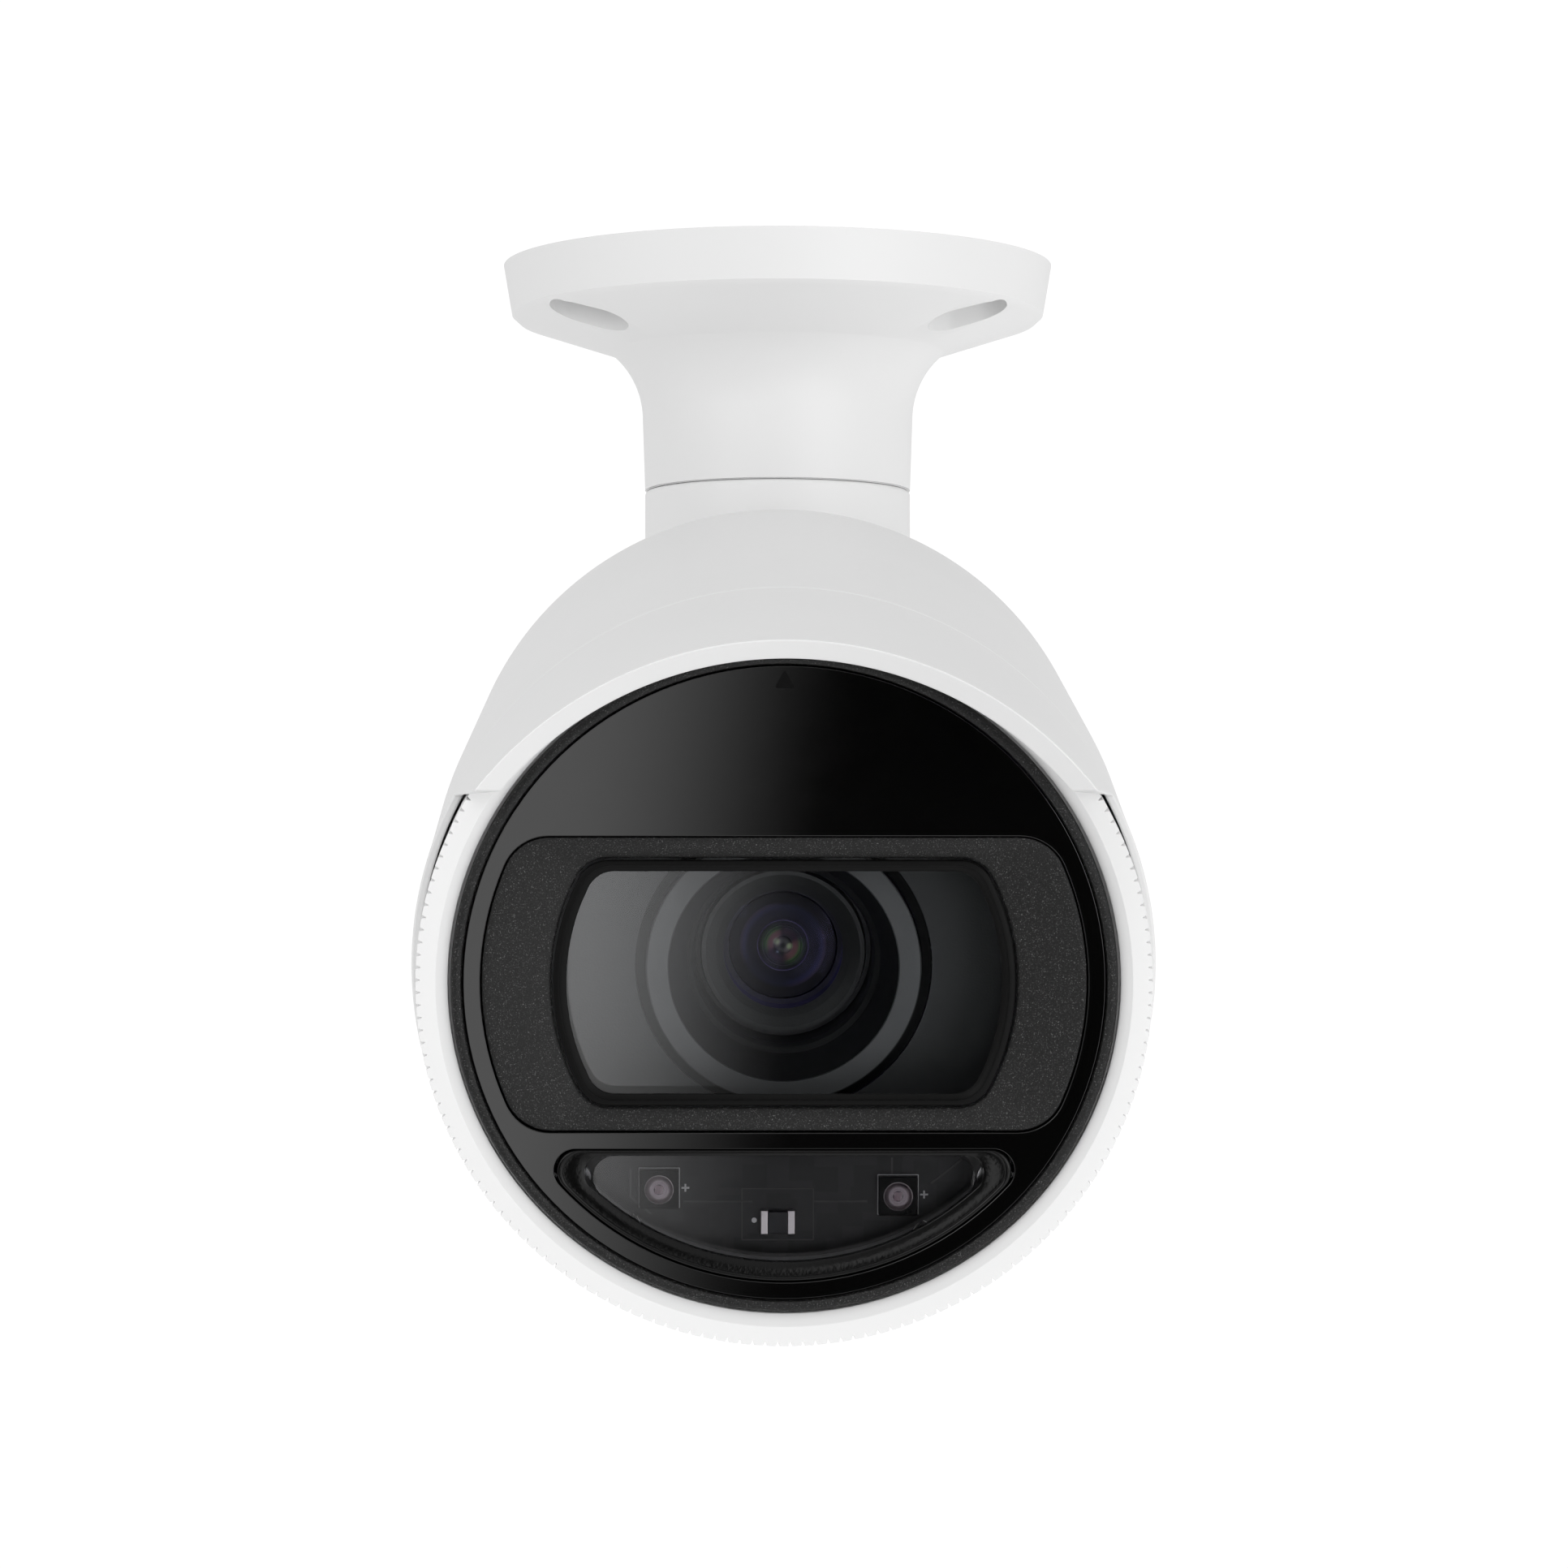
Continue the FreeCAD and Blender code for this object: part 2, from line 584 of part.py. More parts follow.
def make_front_ring():
    """Knurled screw ring that clamps the front face, and its slip washer."""
    crest = S.ring_crest_radius
    bore = S.ring_bore_radius
    mouth = S.ring_mouth_radius
    rear = S.ring_rear
    lip = S.spigot_front - 0.2
    blank = turned("ring_turned", [
        (0, S.ring_face_radius), (0, crest + 0.5), (rear, crest + 0.5), (rear, bore),
        (lip, bore), (lip, mouth), (S.ring_bevel_depth, mouth)])
    knurl = star_prism("knurl", crest.value - S.knurl_depth.value, crest.value,
                       int(S.knurl_count.value), (0.36, 0.03), -1.0, rear.value + 1.0)
    deliver("front_ring", common("front_ring", blank, knurl), True)
    deliver("ring_slip_washer",
            tube("ring_slip_washer", crest - 0.8, bore, rear + 0.05, rear + 0.55), True)


# ---------------------------------------------------------------- front face

def make_front_face():
    """Black face plate with the lens recess and the infrared opening."""
    front = S.plate_front
    rear = S.plate_rear
    bore = S.trim_bore
    deliver("front_trim_ring", turned("trim_turned", [
        (front - 0.1, bore), (S.spigot_front, bore), (S.spigot_front, S.trim_radius),
        (front, S.trim_radius), (front - 0.3, S.trim_radius - 0.4)]), True)
    disc = rod("plate_disc", bore - 0.05, rear - front, (0, front, 0))
    recess = soften("recess", slab("recess", S.recess_radius, S.recess_half_height,
                                   front - 1.0, rear + 1.0), S.recess_corner)
    infrared = soften("infrared", segment("infrared", S.infrared_radius, S.infrared_chord,
                                          front - 1.0, rear + 1.0), S.infrared_corner)
    deliver("face_plate", cut("face_plate", disc, recess, infrared), True)
    deliver("face_seal", tube("face_seal", bore, 35.4, rear, rear + 0.95), True)
    make_lens_frame()
    make_infrared_window()


def make_lens_frame():
    """Grained frame of the lens recess, its gasket and the clear window."""
    gap = 0.1
    front = S.plate_front + 0.2
    rear = S.window_rear
    outer = soften("frame", slab("frame", S.recess_radius - gap, S.recess_half_height - gap,
                                 front, rear), S.recess_corner)
    opening = soften("frame_opening", slab("frame_opening", S.frame_opening_radius,
                                           S.frame_opening_half_height, front - 1.0, rear + 1.0),
                     S.frame_corner)
    deliver("lens_frame", cut("lens_frame", outer, opening), True)
    pane = soften("pane", slab("pane", S.window_radius, S.window_half_height,
                               S.window_front, rear), S.frame_corner)
    deliver("lens_window", pane, True)
    gasket = soften("gasket", slab("gasket", S.window_radius, S.window_half_height,
                                   S.window_front - 0.6, S.window_front), S.frame_corner)
    clear = soften("clear", slab("clear", S.gasket_opening_radius, S.gasket_opening_half_height,
                                 S.window_front - 2.0, S.window_front + 1.0), S.frame_corner)
    deliver("window_gasket", cut("window_gasket", gasket, clear), True)


def make_infrared_window():
    """Raised rim and clear window in front of the infrared lamps."""
    gap = 0.1
    front = S.plate_front - 0.2
    rear = S.plate_rear
    rim = soften("rim", segment("rim", S.infrared_radius - gap, S.infrared_chord + gap,
                                front, rear), S.infrared_corner)
    clear = soften("rim_clear", segment("rim_clear", S.infrared_clear_radius,
                                        S.infrared_clear_chord, front - 1.0, rear + 1.0),
                   S.infrared_corner)
    deliver("infrared_rim", cut("infrared_rim", rim, clear), True)
    window = soften("ir_pane", segment("ir_pane", S.infrared_clear_radius - 0.05,
                                       S.infrared_clear_chord + 0.05, S.infrared_window_front,
                                       S.infrared_window_rear), S.infrared_corner)
    deliver("infrared_window", window, True)


def make_infrared_board():
    """Lamp board behind the lower window, with two lamps and a light sensor."""
    front = S.infrared_board_front
    rear = front + S.board_thickness
    board = segment("ir_board", S.infrared_radius - 0.5, S.infrared_chord + 0.6, front, rear)
    posts = [(-24.0, -23.2), (24.0, -23.2)]
    holes = [rod("ir_board_hole", 1.1, 4.0, (x, front - 1.0, z)) for x, z in posts]
    deliver("infrared_board", cut("infrared_board", board, *holes), True)
    screws = []
    for x, z in posts:
        shank = rod("ir_screw_shank", 1.0, 4.0, (x, front, z))
        head = rod("ir_screw_head", 1.9, 1.0, (x, front - 1.0, z))
        screws.append(join("ir_screw", shank, head))
    deliver("infrared_board_screws", group("infrared_board_screws", *screws), True)
    for side, x, z in (("left", -14.3, -24.5), ("right", 13.1, -25.3)):
        half = 2.25
        base = block(f"led_base_{side}", (x - half, front - 1.1, z - half), (x + half, front, z + half))
        lens = ball(f"led_lens_{side}", 1.65, (x, front - 1.1, z))
        ahead = block(f"led_ahead_{side}", (x - half, front - 4.0, z - half), (x + half, front, z + half))
        dome = common(f"led_dome_{side}", lens, ahead)
        deliver(f"infrared_led_{side}", join(f"infrared_led_{side}", base, dome), True)
    deliver("light_sensor", block("light_sensor_body", (-2.7, front - 0.9, -29.8),
                                  (1.3, front, -27.0)), True)
    wide = S.infrared_radius - 4.5
    shield = block("shield", (-wide, rear - 3.4, -S.infrared_chord + 0.3),
                   (wide, rear + 14.0, -S.infrared_chord + 1.3))
    deliver("light_shield", shield, True)


# ---------------------------------------------------------------- lens

def make_lens_barrel():
    """Fixed lens barrel with the wide grey collar and the surrounding plate."""
    collar = S.lens_collar_radius
    front = S.lens_collar_front
    outer = S.barrel_radius
    bore = S.barrel_bore
    rear = S.barrel_rear
    step = S.lens_cone_depth
    deliver("lens_barrel", turned("barrel_turned", [
        (front, S.lens_collar_bore), (front, collar), (front + 6.0, collar),
        (front + 6.0, outer), (rear, outer), (rear, 9.0), (rear - 2.0, 9.0), (rear - 2.0, bore),
        (step + 1.5, bore), (step + 0.5, S.lens_cone_radius - 0.6), (step, S.lens_cone_radius)]), True)
    seat = S.lens_plate_front
    plate = slab("cover_plate", 34.0, 17.5, seat, seat + 1.4)
    hole = rod("cover_plate_hole", S.lens_plate_hole, 4.0, (0, seat - 1.0, 0))
    deliver("lens_cover_plate", cut("lens_cover_plate", plate, hole), True)


def lens_cell(name, front, rear, glass_radius, glass_front, glass_rear):
    """A sliding cell that holds one glass element."""
    gap = 0.08
    outer = S.barrel_bore - gap
    band = S.cell_band_radius
    deliver(f"{name}_cell", turned(f"{name}_cell_turned", [
        (front, band - 0.5), (front, band), (front + 1.5, band + 0.2), (front + 1.5, outer),
        (rear, outer), (rear, glass_radius - 0.6), (glass_rear + 0.1, glass_radius - 0.6),
        (glass_rear + 0.1, glass_radius + 0.02), (glass_front, glass_radius + 0.02),
        (front + 0.6, glass_radius + 0.9)]), True)
    swell = 1.1
    dome = (glass_radius * glass_radius + swell * swell) / (2 * swell)
    pane = rod(f"{name}_glass", glass_radius, glass_rear - glass_front + swell,
               (0, glass_front - swell, 0))
    curve = ball(f"{name}_curve", dome, (0, glass_front - swell + dome, 0))
    deliver(f"{name}_lens", common(f"{name}_lens", pane, curve), True)


def make_focus_and_zoom():
    """Two sliding cells, their drive rings and the motors' pinions."""
    front = S.cell_front
    lens_cell("focus", front, front + 9.0, S.front_glass_radius, front + 1.2, front + 4.2)
    lens_cell("zoom", front + 20.0, front + 28.0, as_size(6.0), front + 21.2, front + 24.2)
    for name, seat, turn in (("focus", 34.0, 140.0), ("zoom", 48.0, 220.0)):
        make_drive(name, seat, turn)


def make_drive(name, seat, turn):
    """A toothed drive ring on the barrel, meshed with a motor's pinion."""
    teeth = int(S.gear_teeth.value)
    small = int(S.pinion_teeth.value)
    module = 2 * (S.gear_radius.value - 0.5) / teeth
    depth = S.tooth_depth.value
    wide = S.gear_width.value
    reach = module * (teeth + small) / 2 + 0.1
    pitch_radius = module * teeth / 2
    x = reach * math.sin(math.radians(turn))
    z = reach * math.cos(math.radians(turn))
    ring = star_prism(f"{name}_ring", pitch_radius - 0.6 * depth, pitch_radius + 0.35 * depth,
                      teeth, (0.13, 0.13), seat, seat + wide, phase=teeth * turn / 360)
    bore = rod(f"{name}_ring_bore", S.barrel_radius + 0.08, wide + 4, (0, seat - 2.0, 0))
    deliver(f"{name}_gear", cut(f"{name}_gear", ring, bore), True)
    small_radius = module * small / 2
    wheel = star_prism(f"{name}_pinion", small_radius - 0.6 * depth, small_radius + 0.35 * depth,
                       small, (0.11, 0.11), seat, seat + wide, (x, z),
                       phase=small * (turn + 180) / 360 + 0.5)
    shaft = rod(f"{name}_pinion_shaft", 1.0, 7.2, (x, seat, z))
    deliver(f"{name}_pinion", join(f"{name}_pinion", wheel, shaft), True)
    motor = rod(f"{name}_motor_can", 4.2, 9.0, (x, seat + wide + 0.6, z))
    well = rod(f"{name}_motor_well", 1.08, 3.4, (x, seat + wide, z))
    deliver(f"{name}_motor", cut(f"{name}_motor", motor, well), True)


def make_sensor_stack():
    """Filter slider, image sensor and its board behind the barrel."""
    rear = S.barrel_rear
    holder = block("filter_holder_body", (-15, rear + 0.1, -10), (15, rear + 5.1, 10))
    track = block("filter_track", (-13.6, rear + 1.4, -5.6), (13.6, rear + 3.4, 5.6))
    light = rod("filter_light", 5.0, 9.0, (0, rear - 1.0, 0))
    deliver("filter_holder", cut("filter_holder", holder, track, light), True)
    carrier = block("carrier", (-13.2, rear + 1.6, -5.3), (5.6, rear + 3.2, 5.3))
    panes = [rod("filter_pane", 4.4, 4.0, (x, rear, 0)) for x in (-7.8, 0)]
    deliver("filter_slider", cut("filter_slider", carrier, *panes), True)
    deliver("filter_glass", group("filter_glass", *[
        rod("filter_disc", 4.38, 1.2, (x, rear + 1.8, 0)) for x in (-7.8, 0)]), True)
    chip = rear + 6.4
    deliver("image_sensor", block("sensor_chip", (-5, chip, -4), (5, chip + 1.4, 4)), True)
    board_front = chip + 1.4
    board = block("sensor_board_body", (-19, board_front, -19), (19, board_front + 1.6, 19))
    posts = [(x, z) for x in (-16, 16) for z in (-16, 16)]
    holes = [rod("sensor_board_hole", 1.2, 4.0, (x, board_front - 1.0, z)) for x, z in posts]
    deliver("sensor_board", cut("sensor_board", board, *holes), True)
    pillars = [rod("sensor_pillar", 1.1, 14.0, (x, board_front - 2.0, z)) for x, z in posts]
    collars = [rod("sensor_collar", 2.2, 10.3, (x, board_front + 1.7, z)) for x, z in posts]
    studs = [join("sensor_stud", *pair) for pair in zip(pillars, collars)]
    deliver("sensor_standoffs", group("sensor_standoffs", *studs), True)


# ---------------------------------------------------------------- electronics

def make_electronics():
    """Chassis, main board, heat sink, card, reset button and cable seal."""
    chassis = block("chassis_body", (-33, 30, -23.6), (33, 112, -22))
    passage = block("chassis_passage", (-11, 78, -24), (11, 112.5, -21))
    deliver("chassis_plate", cut("chassis_plate", chassis, passage), True)
    deliver("main_board", block("main_board_body", (-30, 90, -20.5), (30, 115, -18.9)), True)
    legs = [rod("board_leg", 1.8, 1.4, (x, 95.0, -21.95), "Z") for x in (-26, 26)]
    deliver("board_spacers", group("board_spacers", *legs), True)
    deliver("processor", block("processor_body", (-24, 93, -18.8), (-8, 109, -16.8)), True)
    base = block("sink_base", (-26, 91, -16.7), (-6, 111, -14.7))
    fins = [block("sink_fin", (x, 91, -14.8), (x + 1.2, 111, -7.0)) for x in range(-26, -6, 4)]
    deliver("heat_sink", join("heat_sink", base, *fins), True)
    socket = block("card_socket_body", (-8, 84, -23.5), (8, 101, -20.8))
    room = block("card_room", (-6, 83, -22.9), (6, 99, -21.6))
    deliver("card_socket", cut("card_socket", socket, room), True)
    deliver("memory_card", block("memory_card_body", (-5.5, 83.5, -22.8), (5.5, 98.5, -21.8)), True)
    case = block("button_case", (-3, 105, -25.0), (3, 111, -20.7))
    well = rod("button_well", 1.75, 3.6, (0, 108, -25.6), "Z")
    deliver("reset_switch", cut("reset_switch", case, well), True)
    cap = rod("reset_cap", 1.7, 3.2, (0, 108, -26.2), "Z")
    deliver("reset_button", cap, True)


def check_and_write():
    """Stop on any failed object, then write each sub-part to its own file."""
    DOC.recompute()
    for item in DOC.Objects:
        if "Invalid" in item.State or "Error" in item.State:
            raise RuntimeError(f"{item.Name} ({item.Label}) failed: {item.State}")
    for node in NODES:
        shape = node.Shape
        if shape.isNull() or not shape.isValid() or not shape.Solids:
            raise RuntimeError(f"{node.Label} has no valid solid")
    os.makedirs("parts", exist_ok=True)
    for node in NODES:
        node.Shape.exportStep(os.path.join("parts", f"{node.Label}.step"))
        print(node.Label, len(node.Shape.Solids), round(node.Shape.Volume, 1))


make_mount_base()
make_pan_knuckle()
make_pan_fixings()
make_swivel()
make_housing()
make_hatch()
make_rear_plate()
make_front_hood()
make_front_ring()
make_front_face()
make_infrared_board()
make_lens_barrel()
make_focus_and_zoom()
make_sensor_stack()
make_electronics()
check_and_write()
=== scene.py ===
"""Looks of a ceiling-mounted bullet security camera, built around its CAD frame.

Mount pieces are drawn in the row's axes and head pieces in the head's own
axes: X to the right, Y back along the optical axis from the front ring, Z up.
Both are written in millimetres and brought into place by MOUNT and HEAD.
"""

import json
import math

import bmesh
import bpy
from mathutils import Matrix, Vector


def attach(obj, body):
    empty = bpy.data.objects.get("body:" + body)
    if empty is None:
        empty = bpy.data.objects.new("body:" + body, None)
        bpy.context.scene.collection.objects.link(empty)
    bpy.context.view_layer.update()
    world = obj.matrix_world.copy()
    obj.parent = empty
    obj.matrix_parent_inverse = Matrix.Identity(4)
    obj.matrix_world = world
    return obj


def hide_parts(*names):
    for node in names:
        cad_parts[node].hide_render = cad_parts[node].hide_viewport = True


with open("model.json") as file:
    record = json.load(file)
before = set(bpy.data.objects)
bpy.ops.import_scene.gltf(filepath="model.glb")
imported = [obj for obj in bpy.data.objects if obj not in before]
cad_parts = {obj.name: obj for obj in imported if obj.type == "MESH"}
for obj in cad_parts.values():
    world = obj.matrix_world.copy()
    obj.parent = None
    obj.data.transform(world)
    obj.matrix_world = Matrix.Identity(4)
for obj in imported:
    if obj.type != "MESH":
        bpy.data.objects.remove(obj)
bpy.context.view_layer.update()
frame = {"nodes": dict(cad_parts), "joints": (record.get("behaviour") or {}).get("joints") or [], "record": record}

MM = 0.001
FRONT_REACH = 0.153
JOINTS = {joint["name"]: joint for joint in frame["joints"]}
BACK = Vector(JOINTS["head_rotate"]["axis"]).normalized()
TILT = math.atan2(BACK.z, BACK.y)
TILT_BOLT = Vector(JOINTS["tilt"]["pos_m"])
MOUNT = Matrix.Scale(MM, 4)
HEAD = (Matrix.Translation(TILT_BOLT - BACK * FRONT_REACH)
        @ Matrix.Rotation(TILT, 4, "X") @ Matrix.Scale(MM, 4))
ROUND_STEPS = 288


# ------------------------------------------------------------------ node helpers

def feed(tree, socket, value):
    """Link a socket to another socket, or give it a plain value."""
    if hasattr(value, "links"):
        tree.links.new(value, socket)
    else:
        socket.default_value = value


class Look:
    """A material under construction, with short ways to add nodes."""

    def __init__(self, name, **sockets):
        self.material = bpy.data.materials.new(name)
        self.material.use_nodes = True
        self.tree = self.material.node_tree
        self.shader = self.tree.nodes["Principled BSDF"]
        self.coordinates = self.tree.nodes.new("ShaderNodeTexCoord").outputs["Object"]
        for socket, value in sockets.items():
            self.shader.inputs[socket.replace("_", " ")].default_value = value

    def node(self, kind, **inputs):
        made = self.tree.nodes.new(kind)
        for socket, value in inputs.items():
            feed(self.tree, made.inputs[socket.replace("_", " ")], value)
        return made

    def noise(self, scale, detail=2.0, roughness=0.5):
        made = self.node("ShaderNodeTexNoise", Vector=self.coordinates, Scale=scale,
                         Detail=detail, Roughness=roughness)
        return made.outputs["Fac"]

    def ramp(self, source, *stops):
        made = self.node("ShaderNodeValToRGB", Fac=source)
        elements = made.color_ramp.elements
        while len(elements) < len(stops):
            elements.new(0.5)
        for element, (place, shade) in zip(elements, stops):
            element.position = place
            element.color = shade if len(shade) == 4 else (*shade, 1.0)
        return made.outputs["Color"]

    def colour(self, source):
        self.tree.links.new(source, self.shader.inputs["Base Color"])

    def roughness(self, source, low, high):
        made = self.node("ShaderNodeMapRange", Value=source, To_Min=low, To_Max=high)
        self.tree.links.new(made.outputs["Result"], self.shader.inputs["Roughness"])

    def bump(self, source, depth, strength=1.0):
        made = self.node("ShaderNodeBump", Height=source, Distance=depth, Strength=strength)
        self.tree.links.new(made.outputs["Normal"], self.shader.inputs["Normal"])


def grey(value):
    """A neutral shade."""
    return (value, value, value)


# ------------------------------------------------------------------ materials

PAINTED_GLINT_SHADE = 0.15              # shade of the painted glints: bright points in the black grain's colour that stand in for its highlights
COLLAR_GRAIN = 4200.0       # noise scale of the lens mouldings' grain
IRIS_DEPTH = 28.2           # millimetres behind the front ring
ELEMENT_REACH = 6.5         # radius over which the painted reflection rings run


def white_coating(name, shade):
    """Powder coat: a faint orange peel, and shade that drifts a little."""
    look = Look(name, Specular_IOR_Level=0.45)
    look.colour(look.ramp(look.noise(14.0), (0.3, grey(shade * 0.975)), (0.7, grey(shade))))
    look.roughness(look.noise(900.0), 0.40, 0.50)
    look.bump(look.noise(1500.0, 3.0), 0.00001, 0.5)
    return look.material


def gloss_black(name):
    """Mirror-gloss black resin with the faintest waviness."""
    look = Look(name, Specular_IOR_Level=0.5)
    look.colour(look.ramp(look.noise(40.0), (0.0, grey(0.0012)), (1.0, grey(0.0022))))
    look.roughness(look.noise(300.0), 0.03, 0.06)
    look.bump(look.noise(25.0, 1.0), 0.00001, 0.3)
    return look.material


def grained_black(name):
    """Spark-eroded black moulding: a fine grain, with painted glints as bright points in its colour."""
    look = Look(name, Specular_IOR_Level=0.27)
    grain = look.noise(6500.0, 3.0, 0.6)
    # The top stop of this ramp is a painted glint, the lower stops the grain's own dark tones.
    look.colour(look.ramp(grain, (0.44, grey(0.003)), (0.60, grey(0.012)), (0.74, grey(PAINTED_GLINT_SHADE))))
    look.roughness(look.noise(2500.0), 0.26, 0.44)
    look.bump(grain, 0.00008, 1.0)
    return look.material


def moulded(name, shade, roughness=0.5, grain=2600.0, depth=0.00002, specular=0.5):
    """Plain moulding or coating in one shade that varies a little."""
    look = Look(name, Specular_IOR_Level=specular)
    dark = tuple(value * 0.85 for value in shade)
    look.colour(look.ramp(look.noise(60.0, 3.0), (0.3, dark), (0.7, shade)))
    look.roughness(look.noise(700.0), roughness - 0.06, roughness + 0.06)
    look.bump(look.noise(grain, 2.0), depth, 0.6)
    return look.material


def turned_metal(name, shade, roughness=0.3):
    """Plated or bare metal with fine directional scratches."""
    look = Look(name, Metallic=1.0)
    dark = tuple(value * 0.8 for value in shade)
    look.colour(look.ramp(look.noise(80.0, 4.0), (0.35, dark), (0.65, shade)))
    stretch = look.node("ShaderNodeMapping", Vector=look.coordinates, Scale=(200.0, 5000.0, 5000.0))
    scratch = look.node("ShaderNodeTexNoise", Vector=stretch.outputs["Vector"], Scale=1.0)
    look.roughness(scratch.outputs["Fac"], roughness - 0.08, roughness + 0.1)
    look.bump(scratch.outputs["Fac"], 0.000005, 0.5)
    return look.material


def circuit_board(name, shade):
    """Solder mask with a faint weave and darker copper pours."""
    look = Look(name)
    cells = look.node("ShaderNodeTexVoronoi", Vector=look.coordinates, Scale=260.0)
    cells.distance = "CHEBYCHEV"
    bright = tuple(value * 1.6 for value in shade)
    look.colour(look.ramp(cells.outputs["Distance"], (0.35, shade), (0.4, bright)))
    look.roughness(look.noise(900.0), 0.30, 0.42)
    look.bump(look.noise(3500.0, 2.0), 0.00001, 0.5)
    return look.material


def clear_pane(name, tint, gloss, shine=(1.0, 1.0, 1.0)):
    """Clear glass that lets light through and mirrors by its angle."""
    look = Look(name)
    tree = look.tree
    output = tree.nodes["Material Output"]
    through = look.node("ShaderNodeBsdfTransparent", Color=(*tint, 1.0))
    mirror = look.node("ShaderNodeBsdfGlossy", Color=(*shine, 1.0))
    smear = look.node("ShaderNodeMapRange", Value=look.noise(120.0, 3.0), To_Min=0.0, To_Max=0.01)
    tree.links.new(smear.outputs["Result"], mirror.inputs["Roughness"])
    edge = look.node("ShaderNodeFresnel", IOR=gloss)
    mixed = look.node("ShaderNodeMixShader", Fac=edge.outputs["Fac"])
    tree.links.new(through.outputs["BSDF"], mixed.inputs[1])
    tree.links.new(mirror.outputs["BSDF"], mixed.inputs[2])
    tree.links.new(mixed.outputs["Shader"], output.inputs["Surface"])
    tree.nodes.remove(look.shader)
    return look.material


def lens_element_painted_reflections(name, centre, painted_reflection_lean, painted_highlights):
    """Dark lens element with painted reflections: coloured rings by radius, stronger towards one side, and soft
    painted highlights.
    """
    look = Look(name, Roughness=0.35, Specular_IOR_Level=0.15)

    def vector(operation, *values):
        made = look.tree.nodes.new("ShaderNodeVectorMath")
        made.operation = operation
        for socket, value in zip(made.inputs, values):
            feed(look.tree, socket, value)
        return made.outputs["Value" if operation in ("DISTANCE", "DOT_PRODUCT") else "Vector"]

    def smooth(source, low, high):
        made = look.node("ShaderNodeMapRange", Value=source, From_Min=low, From_Max=high)
        made.interpolation_type = "SMOOTHSTEP"
        return made.outputs["Result"]

    def mixed(factor, first, second):
        made = look.tree.nodes.new("ShaderNodeMix")
        made.data_type = "RGBA"
        sockets = [socket for socket in made.inputs if socket.enabled]
        for socket, value in zip(sockets, (factor, first, second)):
            feed(look.tree, socket, value)
        return next(socket for socket in made.outputs if socket.enabled)

    reach = look.node("ShaderNodeMapRange", From_Max=ELEMENT_REACH * MM,
                      Value=vector("DISTANCE", look.coordinates, centre)).outputs["Result"]
    side = vector("DOT_PRODUCT", vector("NORMALIZE", vector("SUBTRACT", look.coordinates, centre)),
                  painted_reflection_lean)
    # Painted reflection rings: the first ramp is the brighter set on one side, the plain ramp the dimmer set
    # elsewhere.
    strong_reflection_rings = look.ramp(reach, (0.05, grey(0.01)), (0.08, (0.25, 0.22, 0.22)),
                       (0.14, (0.30, 0.26, 0.24)), (0.21, (0.45, 0.22, 0.20)),
                       (0.27, (0.38, 0.24, 0.18)), (0.31, (0.16, 0.34, 0.10)),
                       (0.37, (0.09, 0.18, 0.07)), (0.42, grey(0.03)), (0.63, (0.03, 0.03, 0.05)),
                       (0.71, (0.08, 0.08, 0.17)), (0.77, (0.11, 0.09, 0.14)),
                       (0.80, grey(0.028)))
    plain = look.ramp(reach, (0.05, grey(0.01)), (0.09, (0.13, 0.13, 0.12)), (0.17, grey(0.05)),
                      (0.25, (0.09, 0.05, 0.07)), (0.34, grey(0.04)), (0.50, (0.02, 0.02, 0.03)),
                      (0.72, (0.035, 0.04, 0.065)), (0.80, grey(0.024)))
    both = look.node("ShaderNodeMath", Value=side)
    both.operation = "ABSOLUTE"
    shade = mixed(smooth(both.outputs["Value"], 0.45, 0.95), plain, strong_reflection_rings)
    # Painted highlights: soft bright dots laid over the rings.
    for offset, radius, tint in painted_highlights:
        gap = vector("DISTANCE", look.coordinates, centre + offset)
        shade = mixed(smooth(gap, radius * 1.4, radius * 0.4), shade, (*tint, 1.0))
    look.colour(shade)
    return look.material


def painted_lens_highlight(x, z, radius, tint):
    """A painted highlight on the lens element: its offset, radius and tint."""
    return HEAD.to_3x3() @ Vector((x, 0, z)), radius * MM, tint


